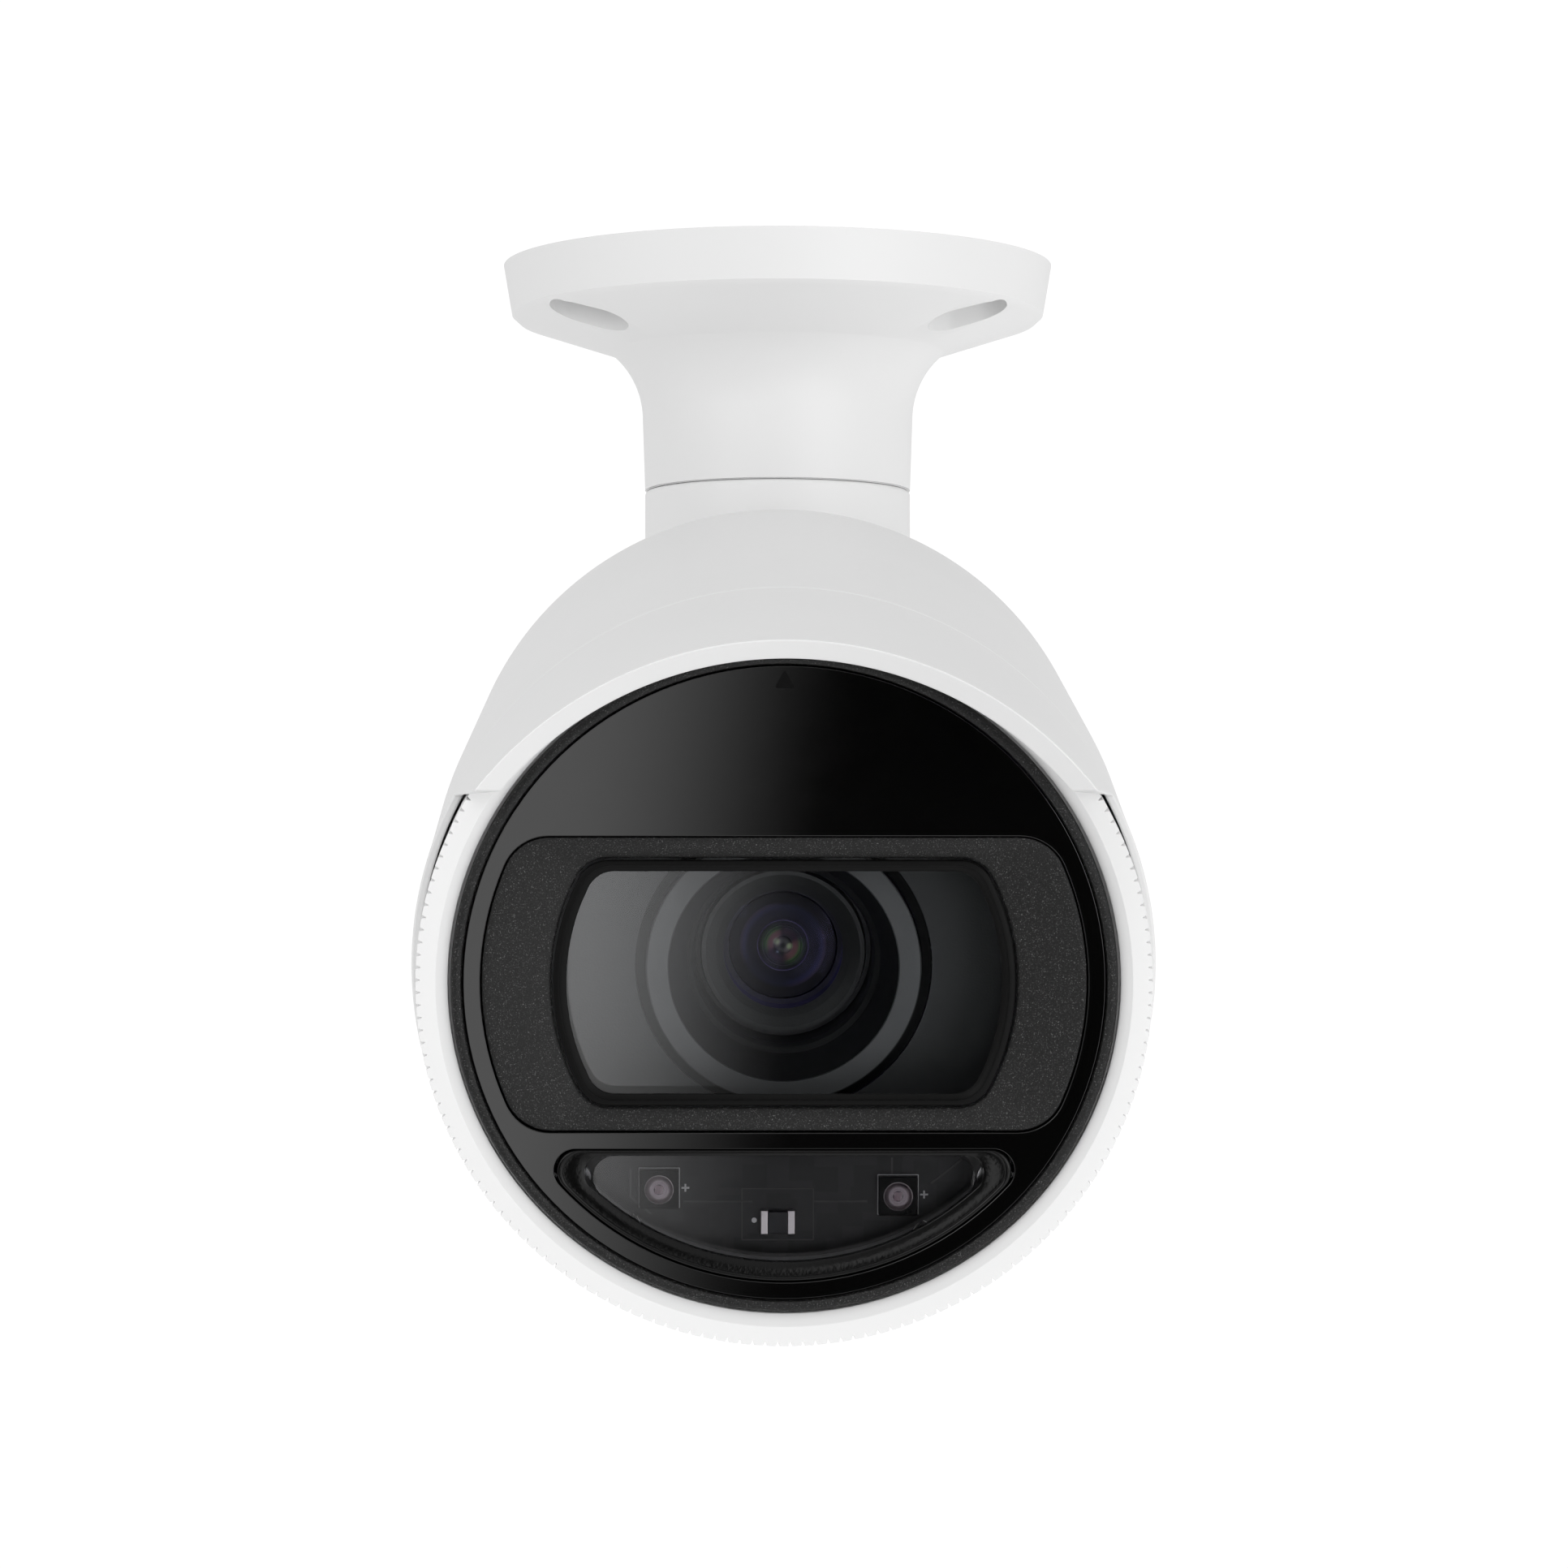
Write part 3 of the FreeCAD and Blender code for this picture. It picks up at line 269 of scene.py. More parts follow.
LOOKS = {
    "white_plastic": white_coating("white_coating", 0.80),
    "white_ring": white_coating("white_ring_coating", 0.82),
    "gloss_black": gloss_black("gloss_black"),
    "grained_black": grained_black("grained_black"),
    "rubber_black": moulded("black_rubber", grey(0.003), 0.45, specular=0.1),
    "clear_window": clear_pane("clear_window", (0.93, 0.94, 0.95), 1.5),
    "infrared_window": clear_pane("infrared_window", (0.84, 0.84, 0.85), 1.42),
    "lens_glass": clear_pane("lens_glass", (0.88, 0.87, 0.92), 1.19, (0.62, 0.58, 1.0)),
    "filter_glass": clear_pane("filter_glass", (0.5, 0.7, 0.75), 1.5),
    "lens_grey": moulded("lens_grey", grey(0.040), 0.45, grain=COLLAR_GRAIN, depth=0.00004),
    "barrel_grey": moulded("barrel_grey", grey(0.026), 0.45, grain=COLLAR_GRAIN, depth=0.00004),
    # Lens element whose colour holds painted reflections and painted highlights.
    "lens_element_painted_reflections": lens_element_painted_reflections(
        "lens_element_painted_reflections", HEAD @ Vector((0, IRIS_DEPTH, 0)),
        (HEAD.to_3x3() @ Vector((-0.85, 0, 0.5))).normalized(),
        (painted_lens_highlight(-0.72, 0.45, 0.42, (0.80, 0.90, 0.55)),
         painted_lens_highlight(0.74, -0.11, 0.40, (0.72, 0.90, 0.45)),
         painted_lens_highlight(-0.6, -0.75, 0.2, (0.5, 0.6, 0.7)))),
    "inner_plastic": moulded("inner_plastic", grey(0.035), 0.5),
    "board": circuit_board("board_black", (0.0135, 0.0135, 0.014)),
    "chip": moulded("chip_black", (0.02, 0.02, 0.023), 0.35),
    "led": moulded("lamp_package", grey(0.003), 0.3, specular=0.2),
    "steel": turned_metal("plated_steel", (0.62, 0.62, 0.64)),
    "aluminium": turned_metal("bare_aluminium", (0.78, 0.78, 0.79), 0.38),
    "bright_tin": turned_metal("bright_tin", (0.9, 0.85, 0.86), 0.3),
    "lamp_cup": moulded("lamp_cup", (0.85, 0.78, 0.80), 0.25),
    "rim_black": moulded("rim_black", grey(0.003), 0.12, specular=0.2),
    "collar_grey": moulded("collar_grey", grey(0.14), 0.38, grain=COLLAR_GRAIN, depth=0.00003),
    "lamp_die": moulded("lamp_die", (0.45, 0.34, 0.38), 0.15),
    "lamp_dome": clear_pane("lamp_dome", (0.92, 0.9, 0.92), 1.55),
    "silkscreen": moulded("silkscreen", grey(0.8), 0.6),
    "trace": moulded("board_trace", grey(0.055), 0.35),
    "coating_violet": moulded("coating_violet", (0.20, 0.16, 0.34), 0.3),
    "coating_grey": moulded("coating_grey", (0.16, 0.15, 0.16), 0.3),
    "pupil_black": moulded("pupil_black", grey(0.002), 0.45, specular=0.1),
}


OWN_LOOKS = {"lens_barrel": "barrel_grey"}      # nodes that differ from their slot


def dress_cad_nodes():
    """Give every CAD node the full material of its slot, or its own."""
    for part in frame["record"]["subparts"]:
        node = frame["nodes"][part["node"]]
        for slot in node.material_slots:
            slot.material = LOOKS[OWN_LOOKS.get(part["node"], part["material_slot"])]


# ------------------------------------------------------------------ mesh helpers

def new_piece(name, shape, place, look):
    """A mesh object from points in millimetres and faces."""
    points, faces = shape
    mesh = bpy.data.meshes.new(name)
    mesh.from_pydata([place @ Vector(point) for point in points], [], faces)
    mesh.validate()
    draft = bmesh.new()
    draft.from_mesh(mesh)
    bmesh.ops.recalc_face_normals(draft, faces=draft.faces)
    draft.to_mesh(mesh)
    draft.free()
    piece = bpy.data.objects.new(name, mesh)
    bpy.context.scene.collection.objects.link(piece)
    piece.data.materials.append(look)
    bake_modifiers(piece, weld=piece.modifiers.new("weld", "WELD"))
    return piece


def bake_modifiers(piece, weld=None):
    """Turn the piece's modifiers into its mesh."""
    if weld:
        weld.merge_threshold = 0.002 * MM
    graph = bpy.context.evaluated_depsgraph_get()
    made = bpy.data.meshes.new_from_object(piece.evaluated_get(graph))
    piece.modifiers.clear()
    piece.data = made


def carve(piece, *cutters):
    """Take closed cutter pieces out of a piece."""
    for cutter in cutters:
        cut = piece.modifiers.new("cut", "BOOLEAN")
        cut.operation = "DIFFERENCE"
        cut.solver = "EXACT"
        cut.object = cutter
    bake_modifiers(piece)
    for cutter in cutters:
        bpy.data.objects.remove(cutter)
    return piece


def soften(piece, width, smooth=32.0):
    """Round the sharp edges and shade the rest smooth."""
    edge = piece.modifiers.new("edges", "BEVEL")
    edge.width = width * MM
    edge.segments = 3
    edge.limit_method = "ANGLE"
    edge.angle_limit = math.radians(smooth)
    edge.use_clamp_overlap = True
    edge.harden_normals = True
    mesh = piece.data
    mesh.polygons.foreach_set("use_smooth", [True] * len(mesh.polygons))
    mesh.set_sharp_from_angle(angle=math.radians(smooth))
    return piece


def refined(node, look, width):
    """A copy of a CAD node's mesh with softened edges."""
    piece = bpy.data.objects.new(f"{node}_finished", frame["nodes"][node].data.copy())
    bpy.context.scene.collection.objects.link(piece)
    piece.data.materials.clear()
    piece.data.materials.append(look)
    bake_modifiers(piece, weld=piece.modifiers.new("weld", "WELD"))
    return soften(piece, width)


def stand_for(piece, body, slot, *nodes):
    """Put a piece on the body it rides and hide the nodes it replaces; the slot is not used."""
    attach(piece, body)
    if nodes:
        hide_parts(*nodes)
    return piece


def ring_point(depth, radius, turn):
    """A point about the optical axis; the turn runs from the top."""
    return (radius * math.sin(turn), depth, radius * math.cos(turn))


def post_point(depth, radius, turn):
    """A point about the mount's vertical axis; the depth runs upwards."""
    return (radius * math.sin(turn), -radius * math.cos(turn), depth)


def lathe(outline, point=ring_point, steps=ROUND_STEPS):
    """Points and faces of a closed outline of (depth, radius) turned fully."""
    points = [point(depth, radius, 2 * math.pi * step / steps)
              for step in range(steps) for depth, radius in outline]
    count = len(outline)
    faces = []
    for step in range(steps):
        here, there = step * count, (step + 1) % steps * count
        for index in range(count):
            after = (index + 1) % count
            faces.append((here + index, here + after, there + after, there + index))
    return points, faces


def joined(*meshes):
    """Several lists of points and faces as one."""
    points, faces = [], []
    for more_points, more_faces in meshes:
        start = len(points)
        points += more_points
        faces += [tuple(start + index for index in face) for face in more_faces]
    return points, faces


def prism(outline, front, rear):
    """A flat outline of (across, up) corners made solid from front to rear."""
    count = len(outline)
    points = [(x, depth, z) for depth in (front, rear) for x, z in outline]
    sides = [(index, (index + 1) % count, count + (index + 1) % count, count + index)
             for index in range(count)]
    ends = [tuple(range(count)), tuple(reversed(range(count, 2 * count)))]
    return points, sides + ends


def box_mesh(low, high):
    """A block between two corners."""
    outline = [(low[0], low[2]), (high[0], low[2]), (high[0], high[2]), (low[0], high[2])]
    return prism(outline, low[1], high[1])


def round_corners(corners, radii, steps=8):
    """The outline with each corner replaced by a smooth curve."""
    smooth = []
    count = len(corners)
    for index, radius in enumerate(radii):
        corner = Vector(corners[index])
        before = Vector(corners[index - 1]) - corner
        after = Vector(corners[(index + 1) % count]) - corner
        if radius == 0:
            smooth.append(tuple(corner))
            continue
        half = before.angle(after) / 2
        reach = min(radius / math.tan(half), 0.49 * before.length, 0.49 * after.length)
        start = corner + before.normalized() * reach
        end = corner + after.normalized() * reach
        for step in range(steps + 1):
            share = step / steps
            smooth.append(tuple(start * (1 - share) ** 2 + corner * 2 * share * (1 - share)
                                + end * share ** 2))
    return smooth


def slab_outline(radius, half_height, corner, steps=40):
    """A disc with flats above and below, and rounded corners, clockwise."""
    reach = math.asin((half_height - corner) / (radius - corner))
    outline = []
    for side in (1, -1):
        for step in range(steps + 1):
            turn = side * (math.pi / 2) - reach + 2 * reach * step / steps
            outline.append((radius * math.sin(turn), radius * math.cos(turn)))
        for lap in range(1, 10):
            start = math.pi / 2 + reach
            turn = start + (math.pi - start) * lap / 10
            across = side * (radius - corner) * math.sin(math.pi / 2 + reach)
            down = -side * (half_height - corner)
            outline.append((across + side * corner * math.sin(turn),
                            down + side * corner * math.cos(turn)))
        outline.append((across, -side * half_height))
        outline.append((-across, -side * half_height))
        for lap in range(1, 10):
            turn = math.pi + (math.pi / 2 - reach) * lap / 10
            outline.append((-across + side * corner * math.sin(turn),
                            down + side * corner * math.cos(turn)))
    return outline


def segment_outline(radius, chord, corner, steps=48):
    """The part of a disc below a chord, with rounded corners, clockwise."""
    centre = -chord - corner
    swing = math.acos((chord + corner) / (radius - corner))
    across = (radius - corner) * math.sin(swing)
    outline = []
    for lap in range(11):
        turn = lap / 10 * (math.pi - swing)
        outline.append((across + corner * math.sin(turn), centre + corner * math.cos(turn)))
    for step in range(1, steps):
        turn = math.pi - swing + 2 * swing * step / steps
        outline.append((radius * math.sin(turn), radius * math.cos(turn)))
    for lap in range(11):
        turn = math.pi + swing + lap / 10 * (math.pi - swing)
        outline.append((-across + corner * math.sin(turn), centre + corner * math.cos(turn)))
    return outline


def loft(rings):
    """A surface through rings of (outline, depth) that share a corner count."""
    count = len(rings[0][0])
    points = [(x, depth, z) for outline, depth in rings for x, z in outline]
    faces = []
    for ring in range(len(rings) - 1):
        here, there = ring * count, (ring + 1) * count
        for index in range(count):
            after = (index + 1) % count
            faces.append((here + index, here + after, there + after, there + index))
    return points, faces


# ------------------------------------------------------------------ white casing

# Radii and depths of the casing, in millimetres, as in the CAD frame.
HOUSING_RADIUS = 43.9
HOUSING_FRONT_RADIUS = 43.1
TAPER_REAR = 60.0
HOUSING_FRONT = 23.0
HOUSING_REAR = 131.5
HOUSING_BORE = 40.9
HATCH_FRONT = 75.3          # just clear of the hatch, so its edges shade cleanly
HATCH_REAR = 116.7
HOOD_TIP = -28.0
HOOD_TIP_RADIUS = 42.3
HOOD_BORE = 41.95
SLEEVE_FRONT = 12.0
NOTCH_LEVEL = HOOD_TIP_RADIUS * math.cos(math.radians(52.0))
NOTCH_FALL = math.tan(math.radians(8.5))


def make_front_hood():
    """Sunshield and its sleeve as one skin, with a level notch on each side."""
    crease = 0.45
    slope = (HOUSING_FRONT_RADIUS - HOOD_TIP_RADIUS) / (HOUSING_FRONT - HOOD_TIP)
    front_radius = HOOD_TIP_RADIUS + slope * (SLEEVE_FRONT - HOOD_TIP)
    sleeve = [(SLEEVE_FRONT, front_radius), (HOUSING_FRONT - crease, HOUSING_FRONT_RADIUS),
              (HOUSING_FRONT, HOUSING_FRONT_RADIUS - crease), (HOUSING_FRONT, 39.2),
              (HOUSING_FRONT - 2.8, 39.2), (HOUSING_FRONT - 2.8, HOOD_BORE),
              (SLEEVE_FRONT, HOOD_BORE)]
    visor = [(SLEEVE_FRONT, front_radius), (HOOD_TIP, HOOD_TIP_RADIUS), (HOOD_TIP + 3.0, 39.9),
             (0.0, HOOD_BORE), (SLEEVE_FRONT, HOOD_BORE)]
    wide = 97
    around = ROUND_STEPS - wide
    shares = [2 * step / (wide - 1) - 1 for step in range(wide)]

    def limit(depth, radius):
        ahead = min(depth, SLEEVE_FRONT) - HOOD_TIP
        return math.acos((NOTCH_LEVEL - ahead * NOTCH_FALL) / radius)

    def turns(depth, radius):
        end = limit(depth, radius)
        over = [share * end for share in shares]
        under = [end + (2 * math.pi - 2 * end) * step / (around + 1)
                 for step in range(1, around + 1)]
        return over + under

    points, faces = [], []
    for depth, radius in sleeve:
        points += [ring_point(depth, radius, turn) for turn in turns(depth, radius)]
    for row in range(len(sleeve)):
        after_row = (row + 1) % len(sleeve)
        closing_front = after_row == 0
        for step in range(ROUND_STEPS):
            if closing_front and step < wide - 1:
                continue
            after = (step + 1) % ROUND_STEPS
            faces.append((row * ROUND_STEPS + step, row * ROUND_STEPS + after,
                          after_row * ROUND_STEPS + after, after_row * ROUND_STEPS + step))
    start = len(points)
    for depth, radius in visor:
        points += [ring_point(depth, radius, share * limit(depth, radius)) for share in shares]
    for row in range(len(visor) - 1):
        for step in range(wide - 1):
            here, there = start + row * wide + step, start + (row + 1) * wide + step
            faces.append((here, there, there + 1, here + 1))
    for step in (0, wide - 1):
        faces.append(tuple(start + row * wide + step for row in range(len(visor))))
    piece = new_piece("front_hood_finished", (points, faces), HEAD, LOOKS["white_plastic"])
    stand_for(soften(piece, 0.35), "head", "white_plastic", "front_hood")


def make_housing():
    """Main tube with its rounded rear edge and the hatch opening below."""
    crease = 0.45
    edge = 4.0
    rear_round = [(HOUSING_REAR - edge + edge * math.sin(turn),
                   HOUSING_RADIUS - edge + edge * math.cos(turn))
                  for turn in [math.pi / 2 * step / 8 for step in range(9)]]
    outline = [(2.6, 36.5), (2.6, 39.1), (HOUSING_FRONT, 39.1),
               (HOUSING_FRONT, HOUSING_FRONT_RADIUS - crease),
               (HOUSING_FRONT + crease, HOUSING_FRONT_RADIUS), (TAPER_REAR, HOUSING_RADIUS),
               (HATCH_FRONT, HOUSING_RADIUS), (HATCH_REAR, HOUSING_RADIUS), *rear_round,
               (HOUSING_REAR, 34.0), (125.5, 34.0), (125.5, 26.0), (122.5, 26.0),
               (122.5, HOUSING_BORE), (HATCH_REAR, HOUSING_BORE), (HATCH_FRONT, HOUSING_BORE),
               (26.5, HOUSING_BORE), (26.5, 35.3), (5.0, 35.3), (5.0, 36.5)]
    piece = new_piece("housing_finished", lathe(outline), HEAD, LOOKS["white_plastic"])
    hatch = new_piece("hatch_cutter", box_mesh((-12.15, 75.85, -48.0), (12.15, 116.15, -36.9)),
                      HEAD, LOOKS["white_plastic"])
    stand_for(soften(carve(piece, hatch), 0.3), "head", "white_plastic", "housing_shell")


def slot_cutter(width, length, low, high, x, y):
    """An upright round-ended bar, long along X, that cuts part of a fixing slot."""
    half = width / 2
    reach = (length - width) / 2
    flat = [(end * reach + half * math.sin(turn), half * math.cos(turn))
            for end, first in ((1, 0), (-1, math.pi))
            for turn in [first + math.pi * step / 24 for step in range(25)]]
    count = len(flat)
    points = [(across, along, height) for height in (low, high) for across, along in flat]
    faces = [(index, (index + 1) % count, count + (index + 1) % count, count + index)
             for index in range(count)]
    faces += [tuple(reversed(range(count))), tuple(range(count, 2 * count))]
    place = MOUNT @ Matrix.Translation((x, y, 0))
    return new_piece("slot_cutter", (points, faces), place, LOOKS["white_plastic"])


def make_mount_base():
    """Flange and flared neck with four seated slots, and the joint's pale line."""
    fillet = [(-22.1 + 12.67 * math.sin(turn), 32.07 - 12.67 * math.cos(turn))
              for turn in [math.radians(51.0) * step / 24 for step in range(24, -1, -1)]]
    outline = [(0.0, 22.0), (0.0, 39.4), (-7.05, 38.2), (-7.95, 37.2), *fillet,
               (-32.25, 19.05), (-32.25, 12.05), (-9.0, 12.05), (-9.0, 22.0)]
    piece = new_piece("mount_base_finished", lathe(outline, post_point), MOUNT,
                      LOOKS["white_plastic"])
    places = [(x, y) for x in (-26.55, 26.55) for y in (-18.6, 18.6)]
    carve(piece, *[slot_cutter(8.0, 11.1, -20.0, -3.0, x, y) for x, y in places])
    carve(piece, *[slot_cutter(4.8, 7.9, -20.0, 2.0, x, y) for x, y in places])
    stand_for(soften(piece, 0.5, 26.0), "mount", "white_plastic", "mount_base")
    filler = new_piece("split_line", lathe([(-32.27, 18.4), (-32.27, 18.72), (-32.37, 18.72),
                                            (-32.37, 18.4)], post_point), MOUNT,
                       LOOKS["white_plastic"])
    stand_for(soften(filler, 0.01), "mount", "white_plastic")


def make_refined_casing():
    """The joint's castings and the rear plate, from the CAD shapes."""
    for body, slot, node, width in (
            ("knuckle", "white_plastic", "pan_knuckle", 0.4),
            ("swivel", "white_plastic", "swivel_hub", 0.4),
            ("head", "white_plastic", "rear_plate", 0.25),
            ("head", "white_plastic", "service_hatch", 0.2),
            ("ring", "white_ring", "front_ring", 0.06)):
        stand_for(refined(node, LOOKS[slot], width), body, slot, node)


# ------------------------------------------------------------------ black face

def make_trim_ring():
    """Thin grained ring with a rounded crown between ring and face plate."""
    outline = [(2.6, 36.45), (1.0, 36.45), (0.62, 36.62), (0.45, 36.95), (0.45, 37.25),
               (0.62, 37.58), (1.0, 37.75), (2.6, 37.75)]
    piece = new_piece("trim_ring_finished", lathe(outline), HEAD, LOOKS["grained_black"])
    stand_for(soften(piece, 0.05), "head", "grained_black", "front_trim_ring")


def make_face_plate():
    """Gloss plate from the CAD shape, and the small triangle near its top."""
    stand_for(refined("face_plate", LOOKS["gloss_black"], 0.12), "head", "gloss_black",
              "face_plate")
    tip, foot, half = 35.9, 33.8, 1.15
    outline = round_corners([(-half, foot), (0.0, tip), (half, foot)], [0.25, 0.2, 0.25])
    marker = new_piece("top_marker", prism(outline, 0.76, 0.9), HEAD, LOOKS["pupil_black"])
    stand_for(marker, "head", "rubber_black")


def make_lens_frame():
    """Grained frame that slopes inwards, and the stepped gasket in it."""
    frame_rings = [(slab_outline(34.3, 16.9, 5.4), 4.5), (slab_outline(34.3, 16.9, 5.4), 1.35),
                   (slab_outline(34.2, 16.8, 5.4), 1.1), (slab_outline(33.9, 16.5, 5.3), 1.02),
                   (slab_outline(33.5, 16.2, 5.2), 1.08), (slab_outline(26.8, 14.55, 4.1), 1.95),
                   (slab_outline(26.45, 14.35, 4.0), 2.15), (slab_outline(26.4, 14.3, 4.0), 2.4),
                   (slab_outline(26.4, 14.3, 4.0), 4.5), (slab_outline(34.3, 16.9, 5.4), 4.5)]
    piece = new_piece("lens_frame_finished", loft(frame_rings), HEAD, LOOKS["grained_black"])
    stand_for(soften(piece, 0.04, 50.0), "head", "grained_black", "lens_frame")
    gasket_rings = [(slab_outline(26.2, 14.1, 3.9), 2.38), (slab_outline(26.2, 14.1, 3.9), 1.95),
                    (slab_outline(26.0, 13.95, 3.8), 1.82), (slab_outline(25.5, 13.5, 3.6), 1.82),
                    (slab_outline(25.4, 13.4, 3.6), 2.0), (slab_outline(24.7, 12.8, 3.2), 2.2),
                    (slab_outline(24.7, 12.8, 3.2), 2.38), (slab_outline(26.2, 14.1, 3.9), 2.38)]
    piece = new_piece("window_gasket_finished", loft(gasket_rings), HEAD, LOOKS["rubber_black"])
    stand_for(soften(piece, 0.04, 50.0), "head", "rubber_black", "window_gasket")


def make_infrared_rim():
    """Rounded dark rim of the half-moon window."""
    rings = [(segment_outline(34.25, 19.0, 2.5), 3.9), (segment_outline(34.25, 19.0, 2.5), 0.95),
             (segment_outline(34.15, 19.07, 2.45), 0.8), (segment_outline(33.98, 19.15, 2.4), 0.74),
             (segment_outline(33.8, 19.25, 2.35), 0.8), (segment_outline(33.68, 19.3, 2.3), 1.0),
             (segment_outline(32.3, 19.62, 2.15), 1.02), (segment_outline(32.12, 19.7, 2.1), 1.1),
             (segment_outline(32.05, 19.75, 2.1), 3.9), (segment_outline(34.25, 19.0, 2.5), 3.9)]
    piece = new_piece("infrared_rim_finished", loft(rings), HEAD, LOOKS["rim_black"])
    stand_for(soften(piece, 0.03, 50.0), "head", "gloss_black", "infrared_rim")


# ------------------------------------------------------------------ lamps and board

BOARD_FRONT = 6.0
LAMPS = (("left", -14.3, -24.5), ("right", 13.1, -25.3))


def make_lamps():
    """Two infrared lamps: a square package, a pale cup, a die and a clear dome."""
    for side, x, z in LAMPS:
        half = 2.25
        base = box_mesh((x - half, BOARD_FRONT - 1.05, z - half), (x + half, BOARD_FRONT, z + half))
        package = new_piece(f"lamp_package_{side}", base, HEAD, LOOKS["led"])
        stand_for(soften(package, 0.08), "head", "led", f"infrared_led_{side}")
        cup = lathe([(BOARD_FRONT - 1.0, 1.7), (BOARD_FRONT - 1.16, 1.62),
                     (BOARD_FRONT - 1.14, 1.4), (BOARD_FRONT - 1.07, 0.6),
                     (BOARD_FRONT - 1.0, 0.6)], steps=64)
        place = HEAD @ Matrix.Translation((x, 0, z))
        rim = new_piece(f"lamp_rim_{side}", cup, place, LOOKS["lamp_cup"])
        stand_for(soften(rim, 0.02), "head", "steel")
        die_box = box_mesh((-0.5, BOARD_FRONT - 1.14, -0.5), (0.5, BOARD_FRONT - 1.04, 0.5))
        die = new_piece(f"lamp_die_{side}", die_box, place, LOOKS["lamp_die"])
        stand_for(soften(die, 0.03), "head", "chip")
        dome_line = [(BOARD_FRONT - 1.1 - 1.35 * math.cos(turn), 1.6 * math.sin(turn))
                     for turn in [math.pi / 2 * step / 16 for step in range(17)]]
        dome_line[0] = (dome_line[0][0], 0.01)
        dome_line.append((BOARD_FRONT - 1.1, 0.01))
        dome = new_piece(f"lamp_dome_{side}", lathe(dome_line, steps=64), place,
                         LOOKS["lamp_dome"])
        stand_for(soften(dome, 0.01), "head", "led")


def make_board_details():
    """Light sensor, silkscreen marks and traces on the lamp board."""
    front = BOARD_FRONT
    x0, x1, z0, z1 = -2.7, 1.3, -29.8, -27.0
    body = box_mesh((x0 + 0.9, front - 0.9, z0 + 0.15), (x1 - 0.9, front, z1 - 0.15))
    sensor = new_piece("light_sensor_body", body, HEAD, LOOKS["chip"])
    stand_for(soften(sensor, 0.08), "head", "chip", "light_sensor")
    for side, low, high in (("left", x0, x0 + 0.9), ("right", x1 - 0.9, x1)):
        end = new_piece(f"sensor_end_{side}",
                        box_mesh((low, front - 0.88, z0), (high, front - 0.02, z1)), HEAD,
                        LOOKS["bright_tin"])
        stand_for(soften(end, 0.12), "head", "steel")
    marks = []
    for side, x, z in LAMPS:
        cross = x + 3.0
        marks.append(bar((cross - 0.45, z), (cross + 0.45, z), 0.2))
        marks.append(bar((cross, z - 0.45), (cross, z + 0.45), 0.2))
        half = 2.32
        marks += frame_bars(x - half, x + half, z - half, z + half, 0.09)
    dot = [(-3.4 + 0.3 * math.sin(turn), -28.3 + 0.3 * math.cos(turn))
           for turn in [2 * math.pi * step / 20 for step in range(20)]]
    marks.append(prism(dot, front - 0.035, front - 0.005))
    silkscreen = new_piece("silkscreen", joined(*marks), HEAD, LOOKS["silkscreen"])
    stand_for(silkscreen, "head", "board")
    traces = frame_bars(-4.8, 3.4, -30.6, -24.6, 0.14)
    for run in (((-11.5, -26.1), (-3.6, -26.1)), ((3.4, -26.1), (9.6, -26.1)),
                ((-17.6, -22.3), (-17.6, -25.6)), ((-17.6, -25.6), (-15.2, -27.6)),
                ((16.9, -24.0), (20.4, -21.2)), ((12.4, -21.0), (12.4, -22.9))):
        traces.append(bar(*run, 0.22))
    copper = new_piece("board_traces", joined(*traces), HEAD, LOOKS["trace"])
    stand_for(copper, "head", "board")


def bar(start, end, width):
    """A thin flat bar on the lamp board between two (across, up) points."""
    along = (Vector(end) - Vector(start)).normalized()
    side = Vector((-along.y, along.x)) * width / 2
    corners = [Vector(start) + side, Vector(end) + side, Vector(end) - side, Vector(start) - side]
    return prism([tuple(corner) for corner in corners], BOARD_FRONT - 0.035, BOARD_FRONT - 0.005)


def frame_bars(left, right, low, high, width):
    """Four thin bars round a rectangle."""
    corners = [(left, low), (right, low), (right, high), (left, high)]
    return [bar(corners[index], corners[(index + 1) % 4], width) for index in range(4)]


# ------------------------------------------------------------------ lens

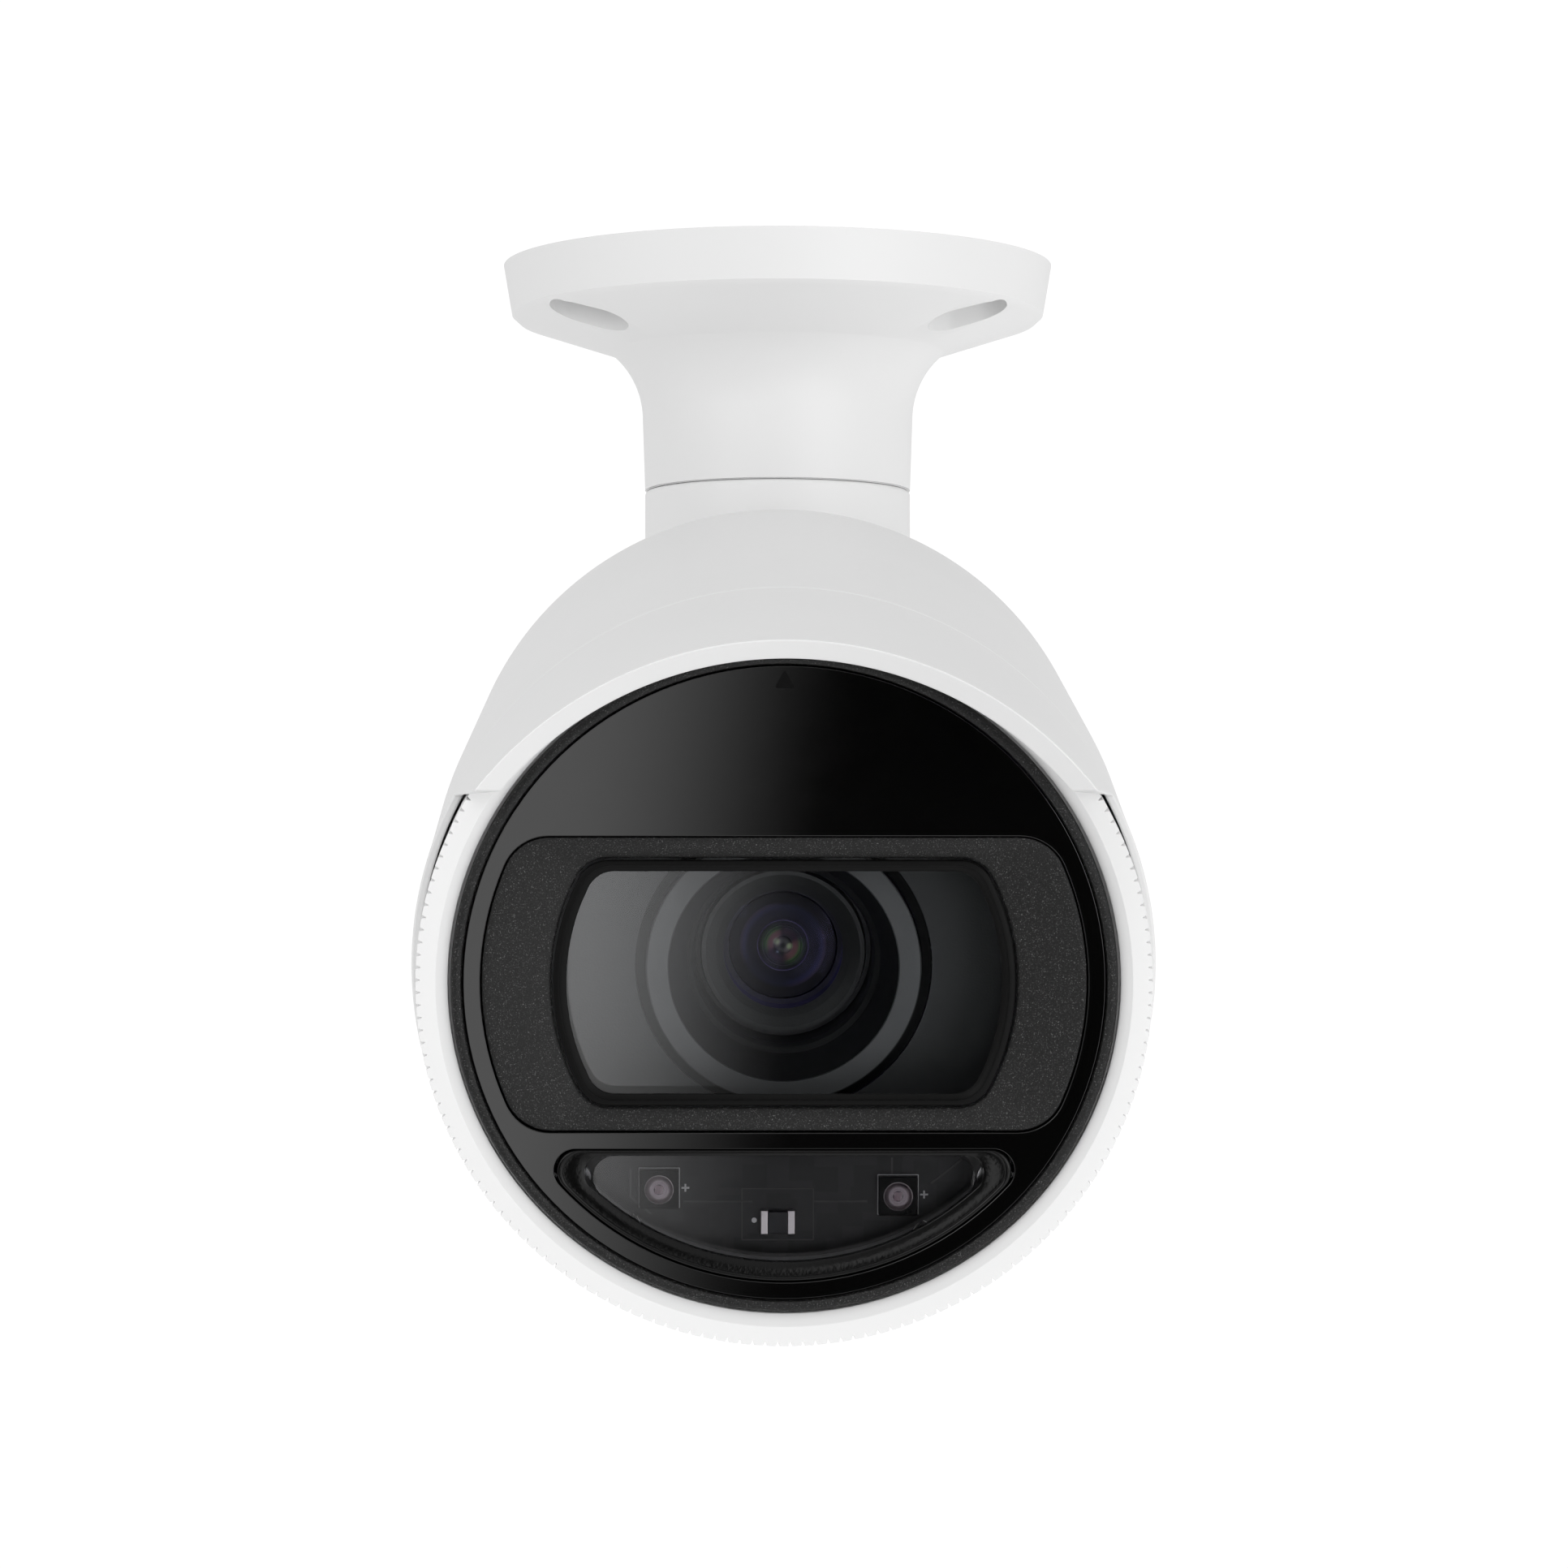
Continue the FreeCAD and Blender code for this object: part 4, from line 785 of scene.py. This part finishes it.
def make_lens_details():
    """The collar's face, a black ring of painted shadow in the gap round it, and the iris and rings behind the
    front glass, the iris painted with reflections.
    """
    face = new_piece("collar_face", lathe([(12.6, 13.35), (12.47, 13.42), (12.47, 15.75),
                                           (12.6, 15.88)], steps=144), HEAD, LOOKS["collar_grey"])
    stand_for(soften(face, 0.06), "head", "lens_grey")
    # Painted shadow: a near-black ring sunk in the gap round the collar, where there is only shade.
    gap = new_piece("collar_gap_painted_shadow", lathe([(14.5, 16.0), (14.5, 17.15), (14.8, 17.15),
                                         (14.8, 16.0)], steps=144), HEAD, LOOKS["pupil_black"])
    stand_for(soften(gap, 0.02), "head", "rubber_black")
    rings = (
        # The iris disc's colour holds painted reflections of the coated glass.
        ("iris_blades", "lens_element_painted_reflections", [(28.6, 0.4), (28.2, 0.4), (28.2, 6.3), (28.6, 6.3)]),
        ("iris_rim", "coating_violet", [(28.1, 2.94), (28.0, 2.98), (28.0, 3.06), (28.15, 3.1)]),
        ("inner_rim", "coating_grey", [(28.1, 2.36), (28.04, 2.39), (28.04, 2.44), (28.15, 2.47)]),
        ("middle_rim", "coating_grey", [(28.1, 2.10), (28.04, 2.12), (28.04, 2.15), (28.15, 2.17)]))
    for name, look, outline in rings:
        ring = new_piece(name, lathe(outline, steps=96), HEAD, LOOKS[look])
        stand_for(soften(ring, 0.02), "focus_group", "lens_grey")
    # A small bead before the iris, coloured with the same painted reflections and highlights.
    line = [(27.9 + 0.3 * (1 - math.cos(turn)), 1.1 * math.sin(turn))
            for turn in [math.pi / 2 * step / 12 for step in range(13)]]
    line[0] = (line[0][0], 0.01)
    line.append((28.2, 0.01))
    bead = new_piece("inner_element", lathe(line, steps=64), HEAD, LOOKS["lens_element_painted_reflections"])
    stand_for(soften(bead, 0.01), "focus_group", "lens_glass")


# ------------------------------------------------------------------ stage, light and camera

FLOOR = (6, -1.05, 3.6, -0.9)       # half width, front, rear and level, in metres


def make_floor():
    """Plain pale floor below the hanging camera."""
    mesh = bpy.data.meshes.new("floor")
    wide, front, rear, low = FLOOR
    mesh.from_pydata([(-wide, front, low), (wide, front, low), (wide, rear, low),
                      (-wide, rear, low)], [], [(0, 1, 2, 3)])
    floor = bpy.data.objects.new("floor", mesh)
    bpy.context.scene.collection.objects.link(floor)
    look = Look("pale_floor", Roughness=0.9)
    look.colour(look.ramp(look.noise(3.0), (0.3, grey(0.93)), (0.7, grey(0.95))))
    look.shader.inputs["Emission Color"].default_value = (1, 1, 1, 1)
    look.shader.inputs["Emission Strength"].default_value = 0.25
    mesh.materials.append(look.material)


def area_light(name, place, aim, size, power):
    """A soft square light that looks at a point."""
    light = bpy.data.lights.new(name, "AREA")
    light.shape = "SQUARE"
    light.size = size
    light.energy = power
    lamp = bpy.data.objects.new(name, light)
    lamp.location = place
    lamp.rotation_euler = (Vector(aim) - Vector(place)).to_track_quat("-Z", "Y").to_euler()
    bpy.context.scene.collection.objects.link(lamp)


def make_world():
    """White studio: bright all round, with a dark flag low in front.

    The flag is what the gloss face mirrors, and its left part brightens into
    the diagonal sheen. A dark card to its left and a bright one to its right
    shape the sloping black parts.
    """
    world = bpy.data.worlds.new("studio")
    bpy.context.scene.world = world
    world.use_nodes = True
    tree = world.node_tree
    tree.nodes.clear()

    def node(kind, **inputs):
        made = tree.nodes.new(kind)
        for socket, value in inputs.items():
            feed(tree, made.inputs[int(socket[1:]) if socket[0] == "_" else socket], value)
        return made

    direction = node("ShaderNodeTexCoord").outputs["Generated"]

    def lobe(axis, inner, outer):
        dot = node("ShaderNodeVectorMath", _0=direction, _1=Vector(axis).normalized())
        dot.operation = "DOT_PRODUCT"
        made = node("ShaderNodeMapRange", Value=dot.outputs["Value"])
        made.interpolation_type = "SMOOTHSTEP"
        made.inputs["From Min"].default_value = math.cos(math.radians(outer))
        made.inputs["From Max"].default_value = math.cos(math.radians(inner))
        return made.outputs["Result"]

    flag = lobe(FLAG_AXIS, FLAG_INNER, FLAG_OUTER)
    across = node("ShaderNodeVectorMath", _0=direction, _1=SHEEN_TOWARDS)
    across.operation = "DOT_PRODUCT"
    sheen = node("ShaderNodeMapRange", Value=across.outputs["Value"])
    sheen.interpolation_type = "SMOOTHSTEP"
    sheen.inputs["From Min"].default_value = SHEEN_START
    sheen.inputs["From Max"].default_value = SHEEN_END
    sheen.inputs["To Min"].default_value = 0.0
    sheen.inputs["To Max"].default_value = SHEEN_LEVEL
    studio = node("ShaderNodeValue")
    studio.outputs[0].default_value = STUDIO_LEVEL
    room = studio.outputs[0]
    for axis, inner, outer, card in CARDS:
        room = node("ShaderNodeMix", _0=lobe(axis, inner, outer), _2=room, _3=card).outputs[0]
    total = node("ShaderNodeMix", _0=flag, _2=room, _3=sheen.outputs["Result"])
    seen = node("ShaderNodeLightPath").outputs["Is Camera Ray"]
    level = node("ShaderNodeMix")
    tree.links.new(seen, level.inputs[0])
    tree.links.new(total.outputs[0], level.inputs[2])
    level.inputs[3].default_value = 1.05
    background = node("ShaderNodeBackground", Color=(1, 1, 1, 1), Strength=level.outputs[0])
    output = node("ShaderNodeOutputWorld")
    tree.links.new(background.outputs["Background"], output.inputs["Surface"])


STUDIO_LEVEL = 0.74
FLAG_AXIS = (0.0, -0.94, -0.34)
FLAG_INNER, FLAG_OUTER = 9.0, 14.0
SHEEN_TOWARDS = (-1.0, 0.0, 0.15)
SHEEN_START, SHEEN_END, SHEEN_LEVEL = -0.062, -0.004, 2.0
CARDS = (((-0.42, -0.85, -0.32), 10.0, 34.0, 0.03), ((0.42, -0.85, -0.32), 6.0, 24.0, 2.2))


def make_lights():
    """Two broad soft boxes over the even studio light."""
    area_light("key", (-0.8, -1.1, 0.35), (0, -0.05, -0.05), 0.9, 4.6)
    area_light("fill", (0.9, -1.1, 0.05), (0, -0.05, -0.04), 0.9, 3.2)


def make_camera():
    """Long lens level with the front ring, pitched up a little."""
    lens = bpy.data.cameras.new("camera")
    lens.sensor_width = 36.0
    lens.lens = 36.0 * 6100 / 1932
    camera = bpy.data.objects.new("camera", lens)
    camera.location = (-0.00365, -0.710, -0.1046)
    camera.rotation_euler = (math.radians(90 + 2.43), 0.0, math.radians(-0.369))
    bpy.context.scene.collection.objects.link(camera)
    bpy.context.scene.camera = camera


bpy.context.scene.view_settings.view_transform = "Standard"
make_camera()
make_world()
make_lights()
make_floor()
dress_cad_nodes()
make_mount_base()
make_housing()
make_front_hood()
make_refined_casing()
make_trim_ring()
make_face_plate()
make_lens_frame()
make_infrared_rim()
make_lamps()
make_board_details()
make_lens_details()
